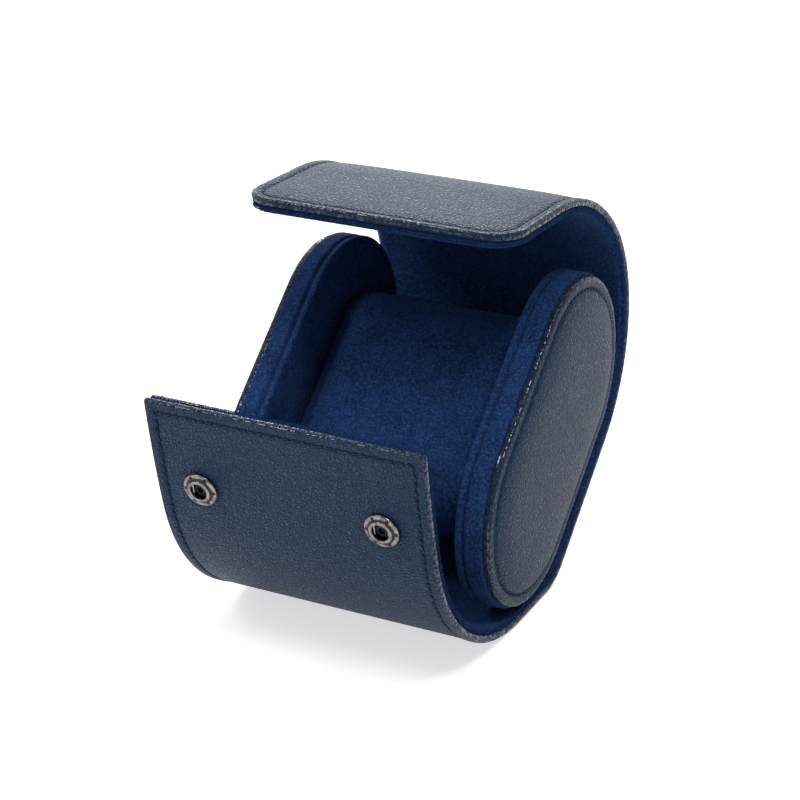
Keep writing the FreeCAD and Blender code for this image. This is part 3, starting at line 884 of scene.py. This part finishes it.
class Oval:
    """Points round an oval with straight sides, and the leaning frame that it stands in."""

    def __init__(self, straight, lean, around, spacing):
        half = straight / 2
        sides = np.linspace(-half, half, max(2, round(straight / spacing)), endpoint=False)
        turns = np.linspace(0.0, np.pi, max(8, round(np.pi * around / spacing)), endpoint=False)
        centres, angles = [], []
        for way in (1, -1):
            centres += [way * sides, np.full_like(turns, way * half)]
            first = 0.0 if way > 0 else np.pi
            angles += [np.full_like(sides, first), first + turns]
        self.centre = np.concatenate(centres)
        self.angle = np.concatenate(angles)
        self.lean = lean

    def stand(self, x, across, up):
        """Point of the case for a place in the insert's own upright frame."""
        middle = joint_places["insert_slide"]
        y = across * np.cos(self.lean) + up * np.sin(self.lean) + middle.y
        z = up * np.cos(self.lean) - across * np.sin(self.lean) + middle.z
        return np.stack(np.broadcast_arrays(x, y, z), -1)

    def ring(self, x, radius):
        across = radius * np.cos(self.angle)
        up = self.centre + radius * np.sin(self.angle)
        return self.stand(np.full_like(across, x), across, up)

    def outward(self):
        """Directions out from the oval, square to X."""
        middle = self.stand(0.0, 0.0, 0.0)
        return self.stand(np.zeros_like(self.angle), np.cos(self.angle), np.sin(self.angle)) - middle


def oval_piece(name, oval, outline, material, hand=1, closed=False, rim=None):
    """A piece swept round an oval. Its outline gives (x, radius), from middle to middle or closed."""
    rings = np.array([oval.ring(hand * x, radius) for x, radius in outline])
    edge = np.repeat(rim or np.zeros(len(rings)), rings.shape[1])
    return mesh_piece(name, rings, ring_faces(rings, closed), material, merge=True, sharp=50.0, rim=edge)


def arc(x, radius, size, start, end, steps=7):
    """Points of an arc in an outline, with its turn given in degrees from the X direction."""
    turns = np.radians(np.linspace(start, end, steps))
    return [(x + size * np.cos(turn), radius + size * np.sin(turn)) for turn in turns]


def face_outline(cap):
    """Padded face: skirt, rolled rim, welt, stitched groove and a crown that rises quickly."""
    foot, step = 0.4 * MM, 0.2 * MM
    welt_height, welt_inset, welt_width = 0.12 * MM, 1.7 * MM, 0.7 * MM
    groove_width = 0.45 * MM
    edge = cap.radius
    outline = [(cap.seam, 0.0), (cap.seam, edge / 2)]
    outline += arc(cap.seam + foot, edge - foot, foot, 180, 90)
    outline += arc(cap.rim - cap.roll, edge - cap.roll, cap.roll, 90, 0, 9)
    groove = edge - cap.stitch_inset
    fine = np.arange(edge - cap.roll - step, groove - 1.4 * MM, -step)
    radii = np.concatenate((fine, np.linspace(groove - 1.6 * MM, 0.0, 26)))
    rise = 1.0 - np.exp(-np.maximum(groove - radii, 0.0) / cap.crown_rise)
    welt = welt_height * bell(radii, edge - welt_inset, welt_width)
    x = cap.rim + cap.crown * rise + welt - cap.groove * bell(radii, groove, groove_width)
    return outline + list(zip(x, radii))


def band_outline(cap):
    """Suede band: rolled edges, and the groove that its stitching pulls in."""
    roll, step, groove_width = cap.band_roll, 0.2 * MM, 0.55 * MM
    x = np.concatenate((
        cap.lip + roll * (1 - np.cos(np.linspace(0.0, np.pi / 2, 6))),
        np.arange(cap.lip + roll + step, cap.seam - roll, step),
        cap.seam - roll * (1 - np.cos(np.linspace(np.pi / 2, 0.0, 6))),
    ))
    ends = rolled(x - cap.lip, roll, roll) + rolled(cap.seam - x, roll, roll)
    groove = cap.band_groove * bell(x, cap.lip + cap.groove_from_lip, groove_width)
    radius = cap.band_radius - ends - groove
    inner = cap.band_radius - cap.band_thickness
    return list(zip(x, radius)) + [(cap.seam, inner), (cap.lip, inner)]


def inner_outline(cap):
    """Flat suede disc with a rolled edge on the side that shows."""
    back = cap.lip + cap.inner_lining
    soft = 0.4 * MM
    front = arc(cap.lip + soft, cap.core_radius - soft, soft, 180, 90)
    flat = [(cap.lip, cap.core_radius * part) for part in (0.0, 0.25, 0.5, 0.75)]
    return flat + front + [(back, cap.core_radius), (back, 0.0)]


def pillow_outline(pillow):
    """Bolster: fullest in the middle, drawn in at its ends, and cut smaller than it ends up."""
    ends = pillow.half_length - pillow.slack
    full = pillow.half_thickness - pillow.slack
    rings, squareness = 41, 14
    along = np.linspace(-1.0, 1.0, rings)
    radius = full - pillow.draw_in * np.abs(along) ** squareness
    return [(-ends, 0.0)] + list(zip(ends * along, radius)) + [(ends, 0.0)]


def swell(piece, pillow):
    """Blows up a pillow's cover as cloth, with each point's movement capped."""
    mesh = piece.data
    grown, frames = 10.0, 20
    points = np.empty(len(mesh.vertices) * 3, np.float32)
    mesh.vertices.foreach_get("co", points)
    rest = points.reshape(-1, 3).astype(float)
    middle = rest.mean(0)
    mesh.vertices.foreach_set("co", ((rest - middle) * grown).astype(np.float32).ravel())
    cloth = piece.modifiers.new("Cover", "CLOTH")
    cloth.settings.use_pressure = True
    cloth.settings.uniform_pressure_force = pillow.pressure
    cloth.settings.effector_weights.gravity = 0.0
    cloth.settings.quality = 6
    cloth.point_cache.frame_start = 1
    cloth.point_cache.frame_end = frames
    scene = bpy.context.scene
    for number in range(1, frames + 1):
        scene.frame_set(number)
    blown = applied(piece)
    scene.frame_set(1)
    blown.vertices.foreach_get("co", points)
    bpy.data.meshes.remove(blown)
    moved = points.reshape(-1, 3).astype(float) / grown + middle - rest
    far = np.linalg.norm(moved, axis=1, keepdims=True)
    moved *= np.minimum(1.0, pillow.most / np.maximum(far, 1e-9))
    mesh.vertices.foreach_set("co", (rest + moved).astype(np.float32).ravel())
    mesh.update()


# Press studs

def softened(corners, radius, steps=4):
    """A closed outline with its corners eased off."""
    corners = np.array(corners)
    points = []
    for before, corner, after in zip(np.roll(corners, 1, 0), corners, np.roll(corners, -1, 0)):
        into, out = before - corner, after - corner
        reach = min(radius, 0.45 * np.linalg.norm(into), 0.45 * np.linalg.norm(out))
        start = corner + into / np.linalg.norm(into) * reach
        end = corner + out / np.linalg.norm(out) * reach
        for part in np.linspace(0.0, 1.0, steps):
            first, second = start + (corner - start) * part, corner + (end - corner) * part
            points.append(first + (second - first) * part)
    return np.array(points)


def turned_points(outline, segments):
    """Points of an outline, given as (radius, height), turned round Z."""
    turns = np.linspace(0.0, 2 * np.pi, segments, endpoint=False)
    radius, height = outline[:, :1], outline[:, 1:]
    flat = np.ones_like(turns)
    return np.stack([radius * np.cos(turns), radius * np.sin(turns), height * flat], -1)


def turned_part(name, points, **marks):
    return mesh_piece(name, points, ring_faces(points, True), None, merge=True, sharp=42.0, **marks)


def socket_part(snap):
    """Spring socket: a flange with dimples, and a raised ring over the spring chamber."""
    foot = snap.mouth + snap.lip
    cove, cove_low, cove_high = 0.45 * MM, snap.shoulder + 0.16 * MM, snap.shoulder + 0.28 * MM
    outline = [
        (snap.bore, 0.0), (snap.socket_radius, 0.0), (snap.socket_radius, snap.shoulder),
        (foot + cove, cove_low), (foot, cove_high),
        (foot, snap.socket_height), (snap.mouth, snap.socket_height), (snap.mouth, snap.chamber_top),
        (snap.chamber, snap.chamber_top), (snap.chamber, snap.plate), (snap.bore, snap.plate),
    ]
    outline = softened(outline, 0.4 * MM, 5)
    upper = snap.shoulder * 0.6
    first, *_, last = np.flatnonzero((outline[:, 0] > foot) & (outline[:, 1] > upper))
    flange = dense(outline[first:last + 1], 0.1 * MM)
    outline = np.concatenate((outline[:first], flange, outline[last + 1:]))
    points = turned_points(outline, 180)
    ring = (snap.socket_radius + foot) / 2 + 0.05 * MM
    far = np.hypot(points[..., 0], points[..., 1])
    high = points[..., 2]
    # This mark paints shade: full inside the mouth and underneath, and softer in the cove round the ring and
    # in the dimples.
    in_cove = np.where(high < snap.shoulder + 0.32 * MM, bell(far, foot + 0.1 * MM, 0.4 * MM), 0.0)
    hidden = (far < snap.mouth + 0.1 * MM) | (high < 0.3 * MM)
    dent = np.where(hidden, 1.0, in_cove)
    for turn in np.arange(snap.dimples) * 2 * np.pi / snap.dimples:
        gap = np.hypot(points[..., 0] - ring * np.cos(turn), points[..., 1] - ring * np.sin(turn))
        hollow = 1 - np.clip(gap / snap.dimple_radius, 0.0, 1.0) ** 2
        sunk = np.where(high > upper, hollow, 0.0)
        dent = np.maximum(dent, sunk)
        high -= snap.dimple_depth * sunk
    return turned_part("socket_shape", points, dent=dent)


def stud_part(snap):
    """Stud: a flat flange, a neck and a rounded head with a hollow for its rivet."""
    top, low = snap.stud_height, snap.stud_height - snap.stud_ball_depth
    bore, slope, cap = 1.05 * MM, 0.1 * MM, 0.4 * MM
    outline = [
        (bore, 0.0), (snap.stud_flange, 0.0), (snap.stud_flange, snap.stud_plate),
        (snap.stud_neck, snap.stud_plate + slope), (snap.stud_neck, low), (snap.stud_ball, low + slope),
        (snap.stud_ball, top), (0.0, top), (0.0, top - cap), (bore, top - cap),
    ]
    outline = softened(outline, 0.38 * MM, 5)
    return turned_part("stud_shape", turned_points(outline, 72))


def snap_pieces(name, part, line, s, depth, way, settings):
    """Both press stud parts of one kind, laid on the wrap. Their way is 1 outward and -1 inward."""
    half = settings.snap.spread / 2
    points = line.place(np.array((-half, half)), np.full(2, s), np.full(2, depth))
    ups = line.outward(np.full(2, s)) * way
    values = {"Part": part, "Material": finish_named("gunmetal_plate", settings)}
    piece = laid_piece(name, "Press studs", [(points[:1], ups[:1]), (points[1:], ups[1:])], values)
    bpy.data.objects.remove(part)
    return piece


# Operators

def cover(piece, body, slot, *nodes):
    """Puts a piece on a body, in place of some of the frame's nodes."""
    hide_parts(*nodes)
    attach(piece, body)


class WrapSheets:
    """What the operators for the wrap's leather and lining share."""

    def sheets(self, line, cut, steps, front, back, settings):
        """Makes the sheets, and gives each stretch for what is laid on it."""
        finish, wrap = finish_named(self.finish, settings), settings.wrap
        for stretch in stretches(line):
            name = f"{stretch.name}_{self.kind}"
            piece = sheet_piece(name, line, cut, stretch, steps, wrap.mesh_step, front, back, finish)
            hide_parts(*self.stands_for[stretch.name])
            stretch.bend(piece, line, wrap.fold_reach)
            yield stretch


class WATCHCASE_OT_wrap_leather(WrapSheets, bpy.types.Operator):
    """Make the wrap's leather, with its turned edges and stitching, in stretches cut between the folds"""
    bl_idname = "watch_case.wrap_leather"
    bl_label = "Wrap Leather"

    kind, finish, slot = "hide", "pebbled_leather", "navy_leather"
    stands_for = {
        "flap": ("flap_leather", "front_leather", "front_interlining"),
        "front": ("base_leather",),
        "back": ("back_leather", "back_interlining"),
        "crown": ("crown_leather", "crown_interlining"),
        "lid": ("lid_leather",),
    }

    def execute(self, context):
        settings = context.scene.watch_case
        wrap, stitch, snap = settings.wrap, settings.stitch, settings.snap
        line = WrapLine(wrap)
        cut = Cut(line, wrap, 0.0)
        reach, drop = wrap.edge_round, wrap.edge / 2
        near_seam = (1.1, 1.5, 1.9, 2.3, 2.6, 2.8, 3.0, 3.2, 3.4, 3.6, 3.9, 4.4, 5.2, 6.4, 7.8)
        steps = edge_steps(reach, near_seam)
        crown_at, lid_at = line.starts[6:8]
        groove_width = 0.42 * MM
        welt_inset, welt_width = 1.7 * MM, 1.0 * MM
        swell_radius, swell_width = 7.2 * MM, 1.7 * MM

        def front(distance, x, s):
            pulled = wrap.groove * bell(distance, stitch.from_edge, groove_width)
            welt = wrap.welt * (1 - bell(distance, welt_inset, welt_width))
            gap = np.hypot(np.abs(x) - snap.spread / 2, s - snap.socket_from_tip)
            raised = wrap.snap_swell * bell(gap, swell_radius, swell_width)
            toward_lid = np.clip((s - crown_at) / (lid_at - crown_at), 0.0, 1.0)
            inward = np.maximum(distance - stitch.from_edge, 0.0)
            raised += wrap.lid_pad * toward_lid * (1.0 - np.exp(-inward / wrap.pad_rise))
            return rolled(distance, reach, drop) + pulled + welt * (distance > reach) - raised

        def back(distance, x, s):
            turned = wrap.edge - rolled(distance, reach, drop)
            return np.where(distance < wrap.hem + 0.05 * MM, turned, wrap.leather)

        for stretch in self.sheets(line, cut, steps, front, back, settings):
            seams = []
            for seam in cut.seam(stitch.from_edge, stretch.begin, stretch.end, stitch.pitch / 2):
                x, s = dense(seam, 0.5 * MM).T
                seams.append((line.place(x, s, stitch.sink), line.outward(s)))
            stitching = laid_piece(stretch.name + "_stitching", "Stitches", seams, stitch_values(settings))
            stretch.bend(stitching, line, wrap.fold_reach)
        return {"FINISHED"}


class WATCHCASE_OT_wrap_lining(WrapSheets, bpy.types.Operator):
    """Make the wrap's suede lining, with the nap that stands out along its edges"""
    bl_idname = "watch_case.wrap_lining"
    bl_label = "Wrap Lining"

    kind, finish, slot = "suede", "brushed_suede", "blue_suede"
    stands_for = {
        "flap": ("flap_lining", "front_lining"),
        "front": ("base_lining",),
        "back": ("back_lining",),
        "crown": ("crown_lining",),
        "lid": ("lid_lining",),
    }

    def execute(self, context):
        settings = context.scene.watch_case
        wrap = settings.wrap
        line = WrapLine(wrap)
        cut = Cut(line, wrap, wrap.lining_inset)
        reach, drop = wrap.lining_round, wrap.lining / 2
        steps = edge_steps(reach, (1.0, 1.6, 2.4, 3.4, 5.0, 6.6, 8.2))
        held_from, held_to = line.starts[1], line.starts[5]
        loosening, swell_inset, swell_width = 12.0 * MM, 1.4 * MM, 2.2 * MM
        nap = tree_values(settings.nap, NAP_SIZES, finish_named("suede_fringe", settings))

        def front(distance, x, s):
            return wrap.edge + rolled(distance, reach, drop)

        def back(distance, x, s):
            free = np.clip(np.maximum(held_from - s, s - held_to) / loosening, 0.0, 1.0)
            soft = wrap.lining_swell * free * bell(distance, swell_inset, swell_width)
            return line.thickness + soft * (distance > reach) - rolled(distance, reach, drop)

        for stretch in self.sheets(line, cut, steps, front, back, settings):
            edges = []
            for seam in cut.seam(0.1 * MM, max(stretch.begin, cut.first), min(stretch.end, cut.last), 0.0):
                x, s = dense(seam, 0.4 * MM).T
                out = np.stack([np.gradient(s), -np.gradient(x)], -1)
                out *= np.sign((out * np.stack([x, s - sum(line.base) / 2], -1)).sum(1))[:, None]
                side = line.place(x + out[:, 0], s + out[:, 1], wrap.edge) - line.place(x, s, wrap.edge)
                for part in (0.25, 0.6, 0.95):
                    edges.append((line.place(x, s, wrap.edge + part * wrap.lining), side))
            stretch.bend(laid_piece(stretch.name + "_nap", "Nap", edges, nap), line, wrap.fold_reach)
        return {"FINISHED"}


class WATCHCASE_OT_end_caps(bpy.types.Operator):
    """Make the two end caps: padded leather faces, suede bands with a stitched groove, suede inner faces"""
    bl_idname = "watch_case.end_caps"
    bl_label = "End Caps"

    def execute(self, context):
        settings = context.scene.watch_case
        cap = settings.cap
        oval = Oval(cap.straight, cap.lean, cap.radius, 1.1 * MM)
        leather = finish_named("pebbled_leather", settings)
        suede = finish_named("brushed_suede", settings)
        outline = face_outline(cap)
        edge_width = 1.3 * MM
        # The rim mark gives the cap face's rolled edge painted shade, like the wrap's edges.
        rim = [bell(radius, cap.radius, edge_width) for _, radius in outline]
        for side, hand in (("left", -1), ("right", 1)):
            name = side + "_cap"
            face = oval_piece(name + "_cushion", oval, outline, leather, hand, rim=rim)
            cover(face, "insert", "navy_leather", name + "_face", name + "_pad", name + "_core")
            band = oval_piece(name + "_rim_suede", oval, band_outline(cap), suede, hand, closed=True)
            cover(band, "insert", "blue_suede", name + "_band")
            inner = oval_piece(name + "_inner_suede", oval, inner_outline(cap), suede, hand)
            cover(inner, "insert", "blue_suede", name + "_lining")
            outward = oval.outward()
            sideways = np.tile((float(hand), 0.0, 0.0), (len(outward), 1))
            fine = stitch_values(settings, "suede_thread", settings.stitch.fine)
            for seam, x, radius, ups, values in (
                ("_face_stitching", cap.rim - 0.5 * cap.groove, cap.radius - cap.stitch_inset, sideways,
                 stitch_values(settings)),
                ("_rim_stitching", cap.lip + cap.groove_from_lip, cap.band_radius - 0.8 * cap.band_groove,
                 outward, fine),
            ):
                line = [(oval.ring(hand * x, radius), ups)]
                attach(laid_piece(name + seam, "Stitches", line, values, closed=True), "insert")
        return {"FINISHED"}


class WATCHCASE_OT_pillow(bpy.types.Operator):
    """Make the watch pillow, its cover blown up as cloth, and the suede on the back board behind it"""
    bl_idname = "watch_case.pillow"
    bl_label = "Pillow and Back Board"

    def execute(self, context):
        settings = context.scene.watch_case
        pillow, cap = settings.pillow, settings.cap
        suede = finish_named("brushed_suede", settings)
        oval = Oval(pillow.straight, cap.lean, pillow.half_thickness, 1.6 * MM)
        cushion = oval_piece("pillow_cushion", oval, pillow_outline(pillow), None)
        modified(cushion, "REMESH", mode="VOXEL", voxel_size=pillow.voxel)
        swell(cushion, pillow)
        modified(cushion, "SUBSURF", levels=1, render_levels=1)
        cushion.data.shade_smooth()
        cushion.data.materials.append(suede)
        cover(cushion, "insert", "blue_suede", "pillow_cover", "pillow_foam")

        gap, rounding = 0.05 * MM, 1.0 * MM
        shell = bmesh.new()
        bmesh.ops.create_cube(shell, size=1.0)
        for corner in shell.verts:
            x = 2 * (cap.lip - gap) * corner.co.x
            across = cap.spine_from + (cap.spine_to - cap.spine_from) * (corner.co.y + 0.5)
            corner.co = oval.stand(x, across, cap.straight * corner.co.z)
        edges = shell.edges[:]
        bmesh.ops.bevel(shell, geom=edges, offset=rounding, segments=4, affect="EDGES", profile=0.5)
        mesh = bpy.data.meshes.new("spine_suede")
        shell.to_mesh(mesh)
        shell.free()
        mesh.shade_smooth()
        panel = new_object("spine_suede", mesh, suede)
        cover(panel, "insert", "blue_suede", "spine_board", "spine_lining")
        return {"FINISHED"}


class WATCHCASE_OT_press_studs(bpy.types.Operator):
    """Make the sockets on the flap and the studs on the lid, and finish the springs, rivets and boards"""
    bl_idname = "watch_case.press_studs"
    bl_label = "Press Studs and Boards"

    frame_finishes = {
        "snap_springs": "spring_wire",
        # The sockets' rivets get a near-black finish: painted shade inside the sockets.
        "socket_rivets": "dark_rivet",
        "stud_rivets": "brass_rivet",
        "flap_board": "pressed_board",
        "base_board": "pressed_board",
        "lid_board": "pressed_board",
    }

    def execute(self, context):
        settings = context.scene.watch_case
        snap = settings.snap
        line = WrapLine(settings.wrap)
        for name, body, part, s, depth, way in (
            ("sockets", "flap", socket_part(snap), snap.socket_from_tip, 0.0, 1),
            ("studs", "lid", stud_part(snap), line.length - snap.stud_from_edge, line.thickness, -1),
        ):
            pair = snap_pieces(name, part, line, s, depth, way, settings)
            cover(pair, body, "gunmetal", "snap_" + name)
        for node, finish in self.frame_finishes.items():
            materials = frame["nodes"][node].data.materials
            materials.clear()
            materials.append(finish_named(finish, settings))
        return {"FINISHED"}


def direction(turn, height):
    """Direction at a turn from the back to the left and a height over the horizon."""
    level = math.cos(height)
    return Vector((-math.sin(turn) * level, math.cos(turn) * level, math.sin(height)))


class WATCHCASE_OT_stage(bpy.types.Operator):
    """Set up the floor, the light and the camera"""
    bl_idname = "watch_case.stage"
    bl_label = "Stage"

    aim = Vector((0.0, 0.0, 0.05))
    dark_way = (0.85, 0.52, -0.05)
    # How nearly a direction has to face the dark or the glow to begin to see it, and to see it fully
    dark_spread, glow_spread = (0.65, 0.95), (0.45, 0.95)

    def placed(self, name, data, place, way):
        """A lamp or a camera that looks along a direction."""
        thing = new_object(name, data)
        thing.location = place
        thing.rotation_euler = way.to_track_quat("-Z", "Y").to_euler()
        return thing

    def lamp(self, name, watts, size, place):
        data = bpy.data.lights.new(name, "AREA")
        data.energy = watts
        data.shape = "DISK"
        data.size = size
        self.placed(name, data, place, self.aim - Vector(place))

    def floor(self, stage, colours):
        turns = np.linspace(0.0, 2 * np.pi, 96, endpoint=False)
        corners = stage.floor_radius * np.stack([np.cos(turns), np.sin(turns), np.zeros_like(turns)], -1)
        finish = Finish("studio_floor")
        grain = finish.noise(3.0 * MM, 2.0)
        camera = finish.add("ShaderNodeLightPath", {}, {}, "Is Camera Ray")
        mirrored = stage.mirrored_lift * finish.add("ShaderNodeLightPath", {}, {}, "Is Glossy Ray")
        seen = finish.add("ShaderNodeMath", {"operation": "MAXIMUM"}, {0: camera, 1: mirrored})
        white = finish.finished({
            "Base Color": finish.mix(grain * 0.05, colours.floor, WHITE),
            "Roughness": 0.9,
            "Specular IOR Level": 0.0,
            "Emission Color": finish.mix(seen, BLACK, WHITE),
            "Emission Strength": stage.floor_lift,
        })
        mesh_piece("floor", corners, [range(len(turns))], white)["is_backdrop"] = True

    def sky(self, stage):
        """White to the camera. The light from it is bright at the back left and dark at the back right."""
        world = bpy.data.worlds.new("studio")
        world.use_nodes = True
        nodes = Nodes(world.node_tree)
        background = world.node_tree.nodes["Background"]
        way = nodes.add("ShaderNodeTexCoord", {}, {}, "Generated")

        def facing(toward, low, high):
            product = {"operation": "DOT_PRODUCT"}
            near = nodes.add("ShaderNodeVectorMath", product, {0: way, 1: toward}, "Value")
            return nodes.eased(near, low, high)

        dark = facing(self.dark_way, *self.dark_spread)
        bright = facing(direction(stage.glow_azimuth, stage.glow_height), *self.glow_spread)
        light = stage.sky * (1.0 - dark) + stage.glow * bright
        seen = nodes.add("ShaderNodeLightPath", {}, {}, "Is Camera Ray")
        nodes.feed(background.inputs["Color"], WHITE)
        nodes.feed(background.inputs["Strength"], light * (1.0 - seen) + seen)
        bpy.context.scene.world = world

    def camera(self, stage):
        data = bpy.data.cameras.new("camera")
        data.sensor_width = 36.0
        data.lens = stage.lens
        way = direction(stage.azimuth, -stage.elevation)
        bpy.context.scene.camera = self.placed("camera", data, stage.camera_place, way)

    def execute(self, context):
        settings = context.scene.watch_case
        stage = settings.stage
        self.floor(stage, settings.colours)
        self.sky(stage)
        for name, watts, size, place in (
            ("right_key_light", stage.key_light, 0.24, (0.35, -0.28, 0.9)),
            ("left_key_light", stage.side_light, 0.2, (-0.42, -0.42, 0.8)),
            ("top_light", stage.top_light, 0.8, (0.0, 0.1, 1.0)),
            ("back_light", stage.back_light, 0.3, (-0.42, 0.85, 0.44)),
            ("front_light", stage.front_light, 0.4, (-0.7, -0.6, 0.25)),
        ):
            self.lamp(name, watts, size, place)
        self.camera(stage)
        context.scene.view_settings.view_transform = "Standard"
        return {"FINISHED"}


class WATCHCASE_PT_panel(bpy.types.Panel):
    """Buttons that make the watch case, and its sizes"""
    bl_idname = "WATCHCASE_PT_panel"
    bl_label = "Watch Case"
    bl_space_type = "VIEW_3D"
    bl_region_type = "UI"
    bl_category = "Watch Case"

    def draw(self, context):
        settings = context.scene.watch_case
        for operator in OPERATORS:
            self.layout.operator(operator.bl_idname)
        for key in settings.__annotations__:
            box = self.layout.box()
            box.label(text=settings.bl_rna.properties[key].name)
            sizes = getattr(settings, key)
            for name in sizes.__annotations__:
                box.prop(sizes, name)


OPERATORS = (
    WATCHCASE_OT_stage,
    WATCHCASE_OT_wrap_leather,
    WATCHCASE_OT_wrap_lining,
    WATCHCASE_OT_end_caps,
    WATCHCASE_OT_pillow,
    WATCHCASE_OT_press_studs,
)
GROUPS = (
    WrapSizes, StitchSizes, NapSizes, CapSizes, PillowSizes, SnapSizes, CaseColours, StageSizes, CaseSettings,
)
CLASSES = GROUPS + OPERATORS + (WATCHCASE_PT_panel,)


def register():
    for item in CLASSES:
        bpy.utils.register_class(item)
    bpy.types.Scene.watch_case = bpy.props.PointerProperty(type=CaseSettings)


def unregister():
    del bpy.types.Scene.watch_case
    for item in reversed(CLASSES):
        bpy.utils.unregister_class(item)


def main():
    register()
    bpy.ops.watch_case.stage()
    bpy.ops.watch_case.wrap_leather()
    bpy.ops.watch_case.wrap_lining()
    bpy.ops.watch_case.end_caps()
    bpy.ops.watch_case.pillow()
    bpy.ops.watch_case.press_studs()
    boxes = {"cad": cad_box, "visual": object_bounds()}
    {name: [list(corner) for corner in box] for name, box in boxes.items()}


if __name__ == "__main__":
    main()
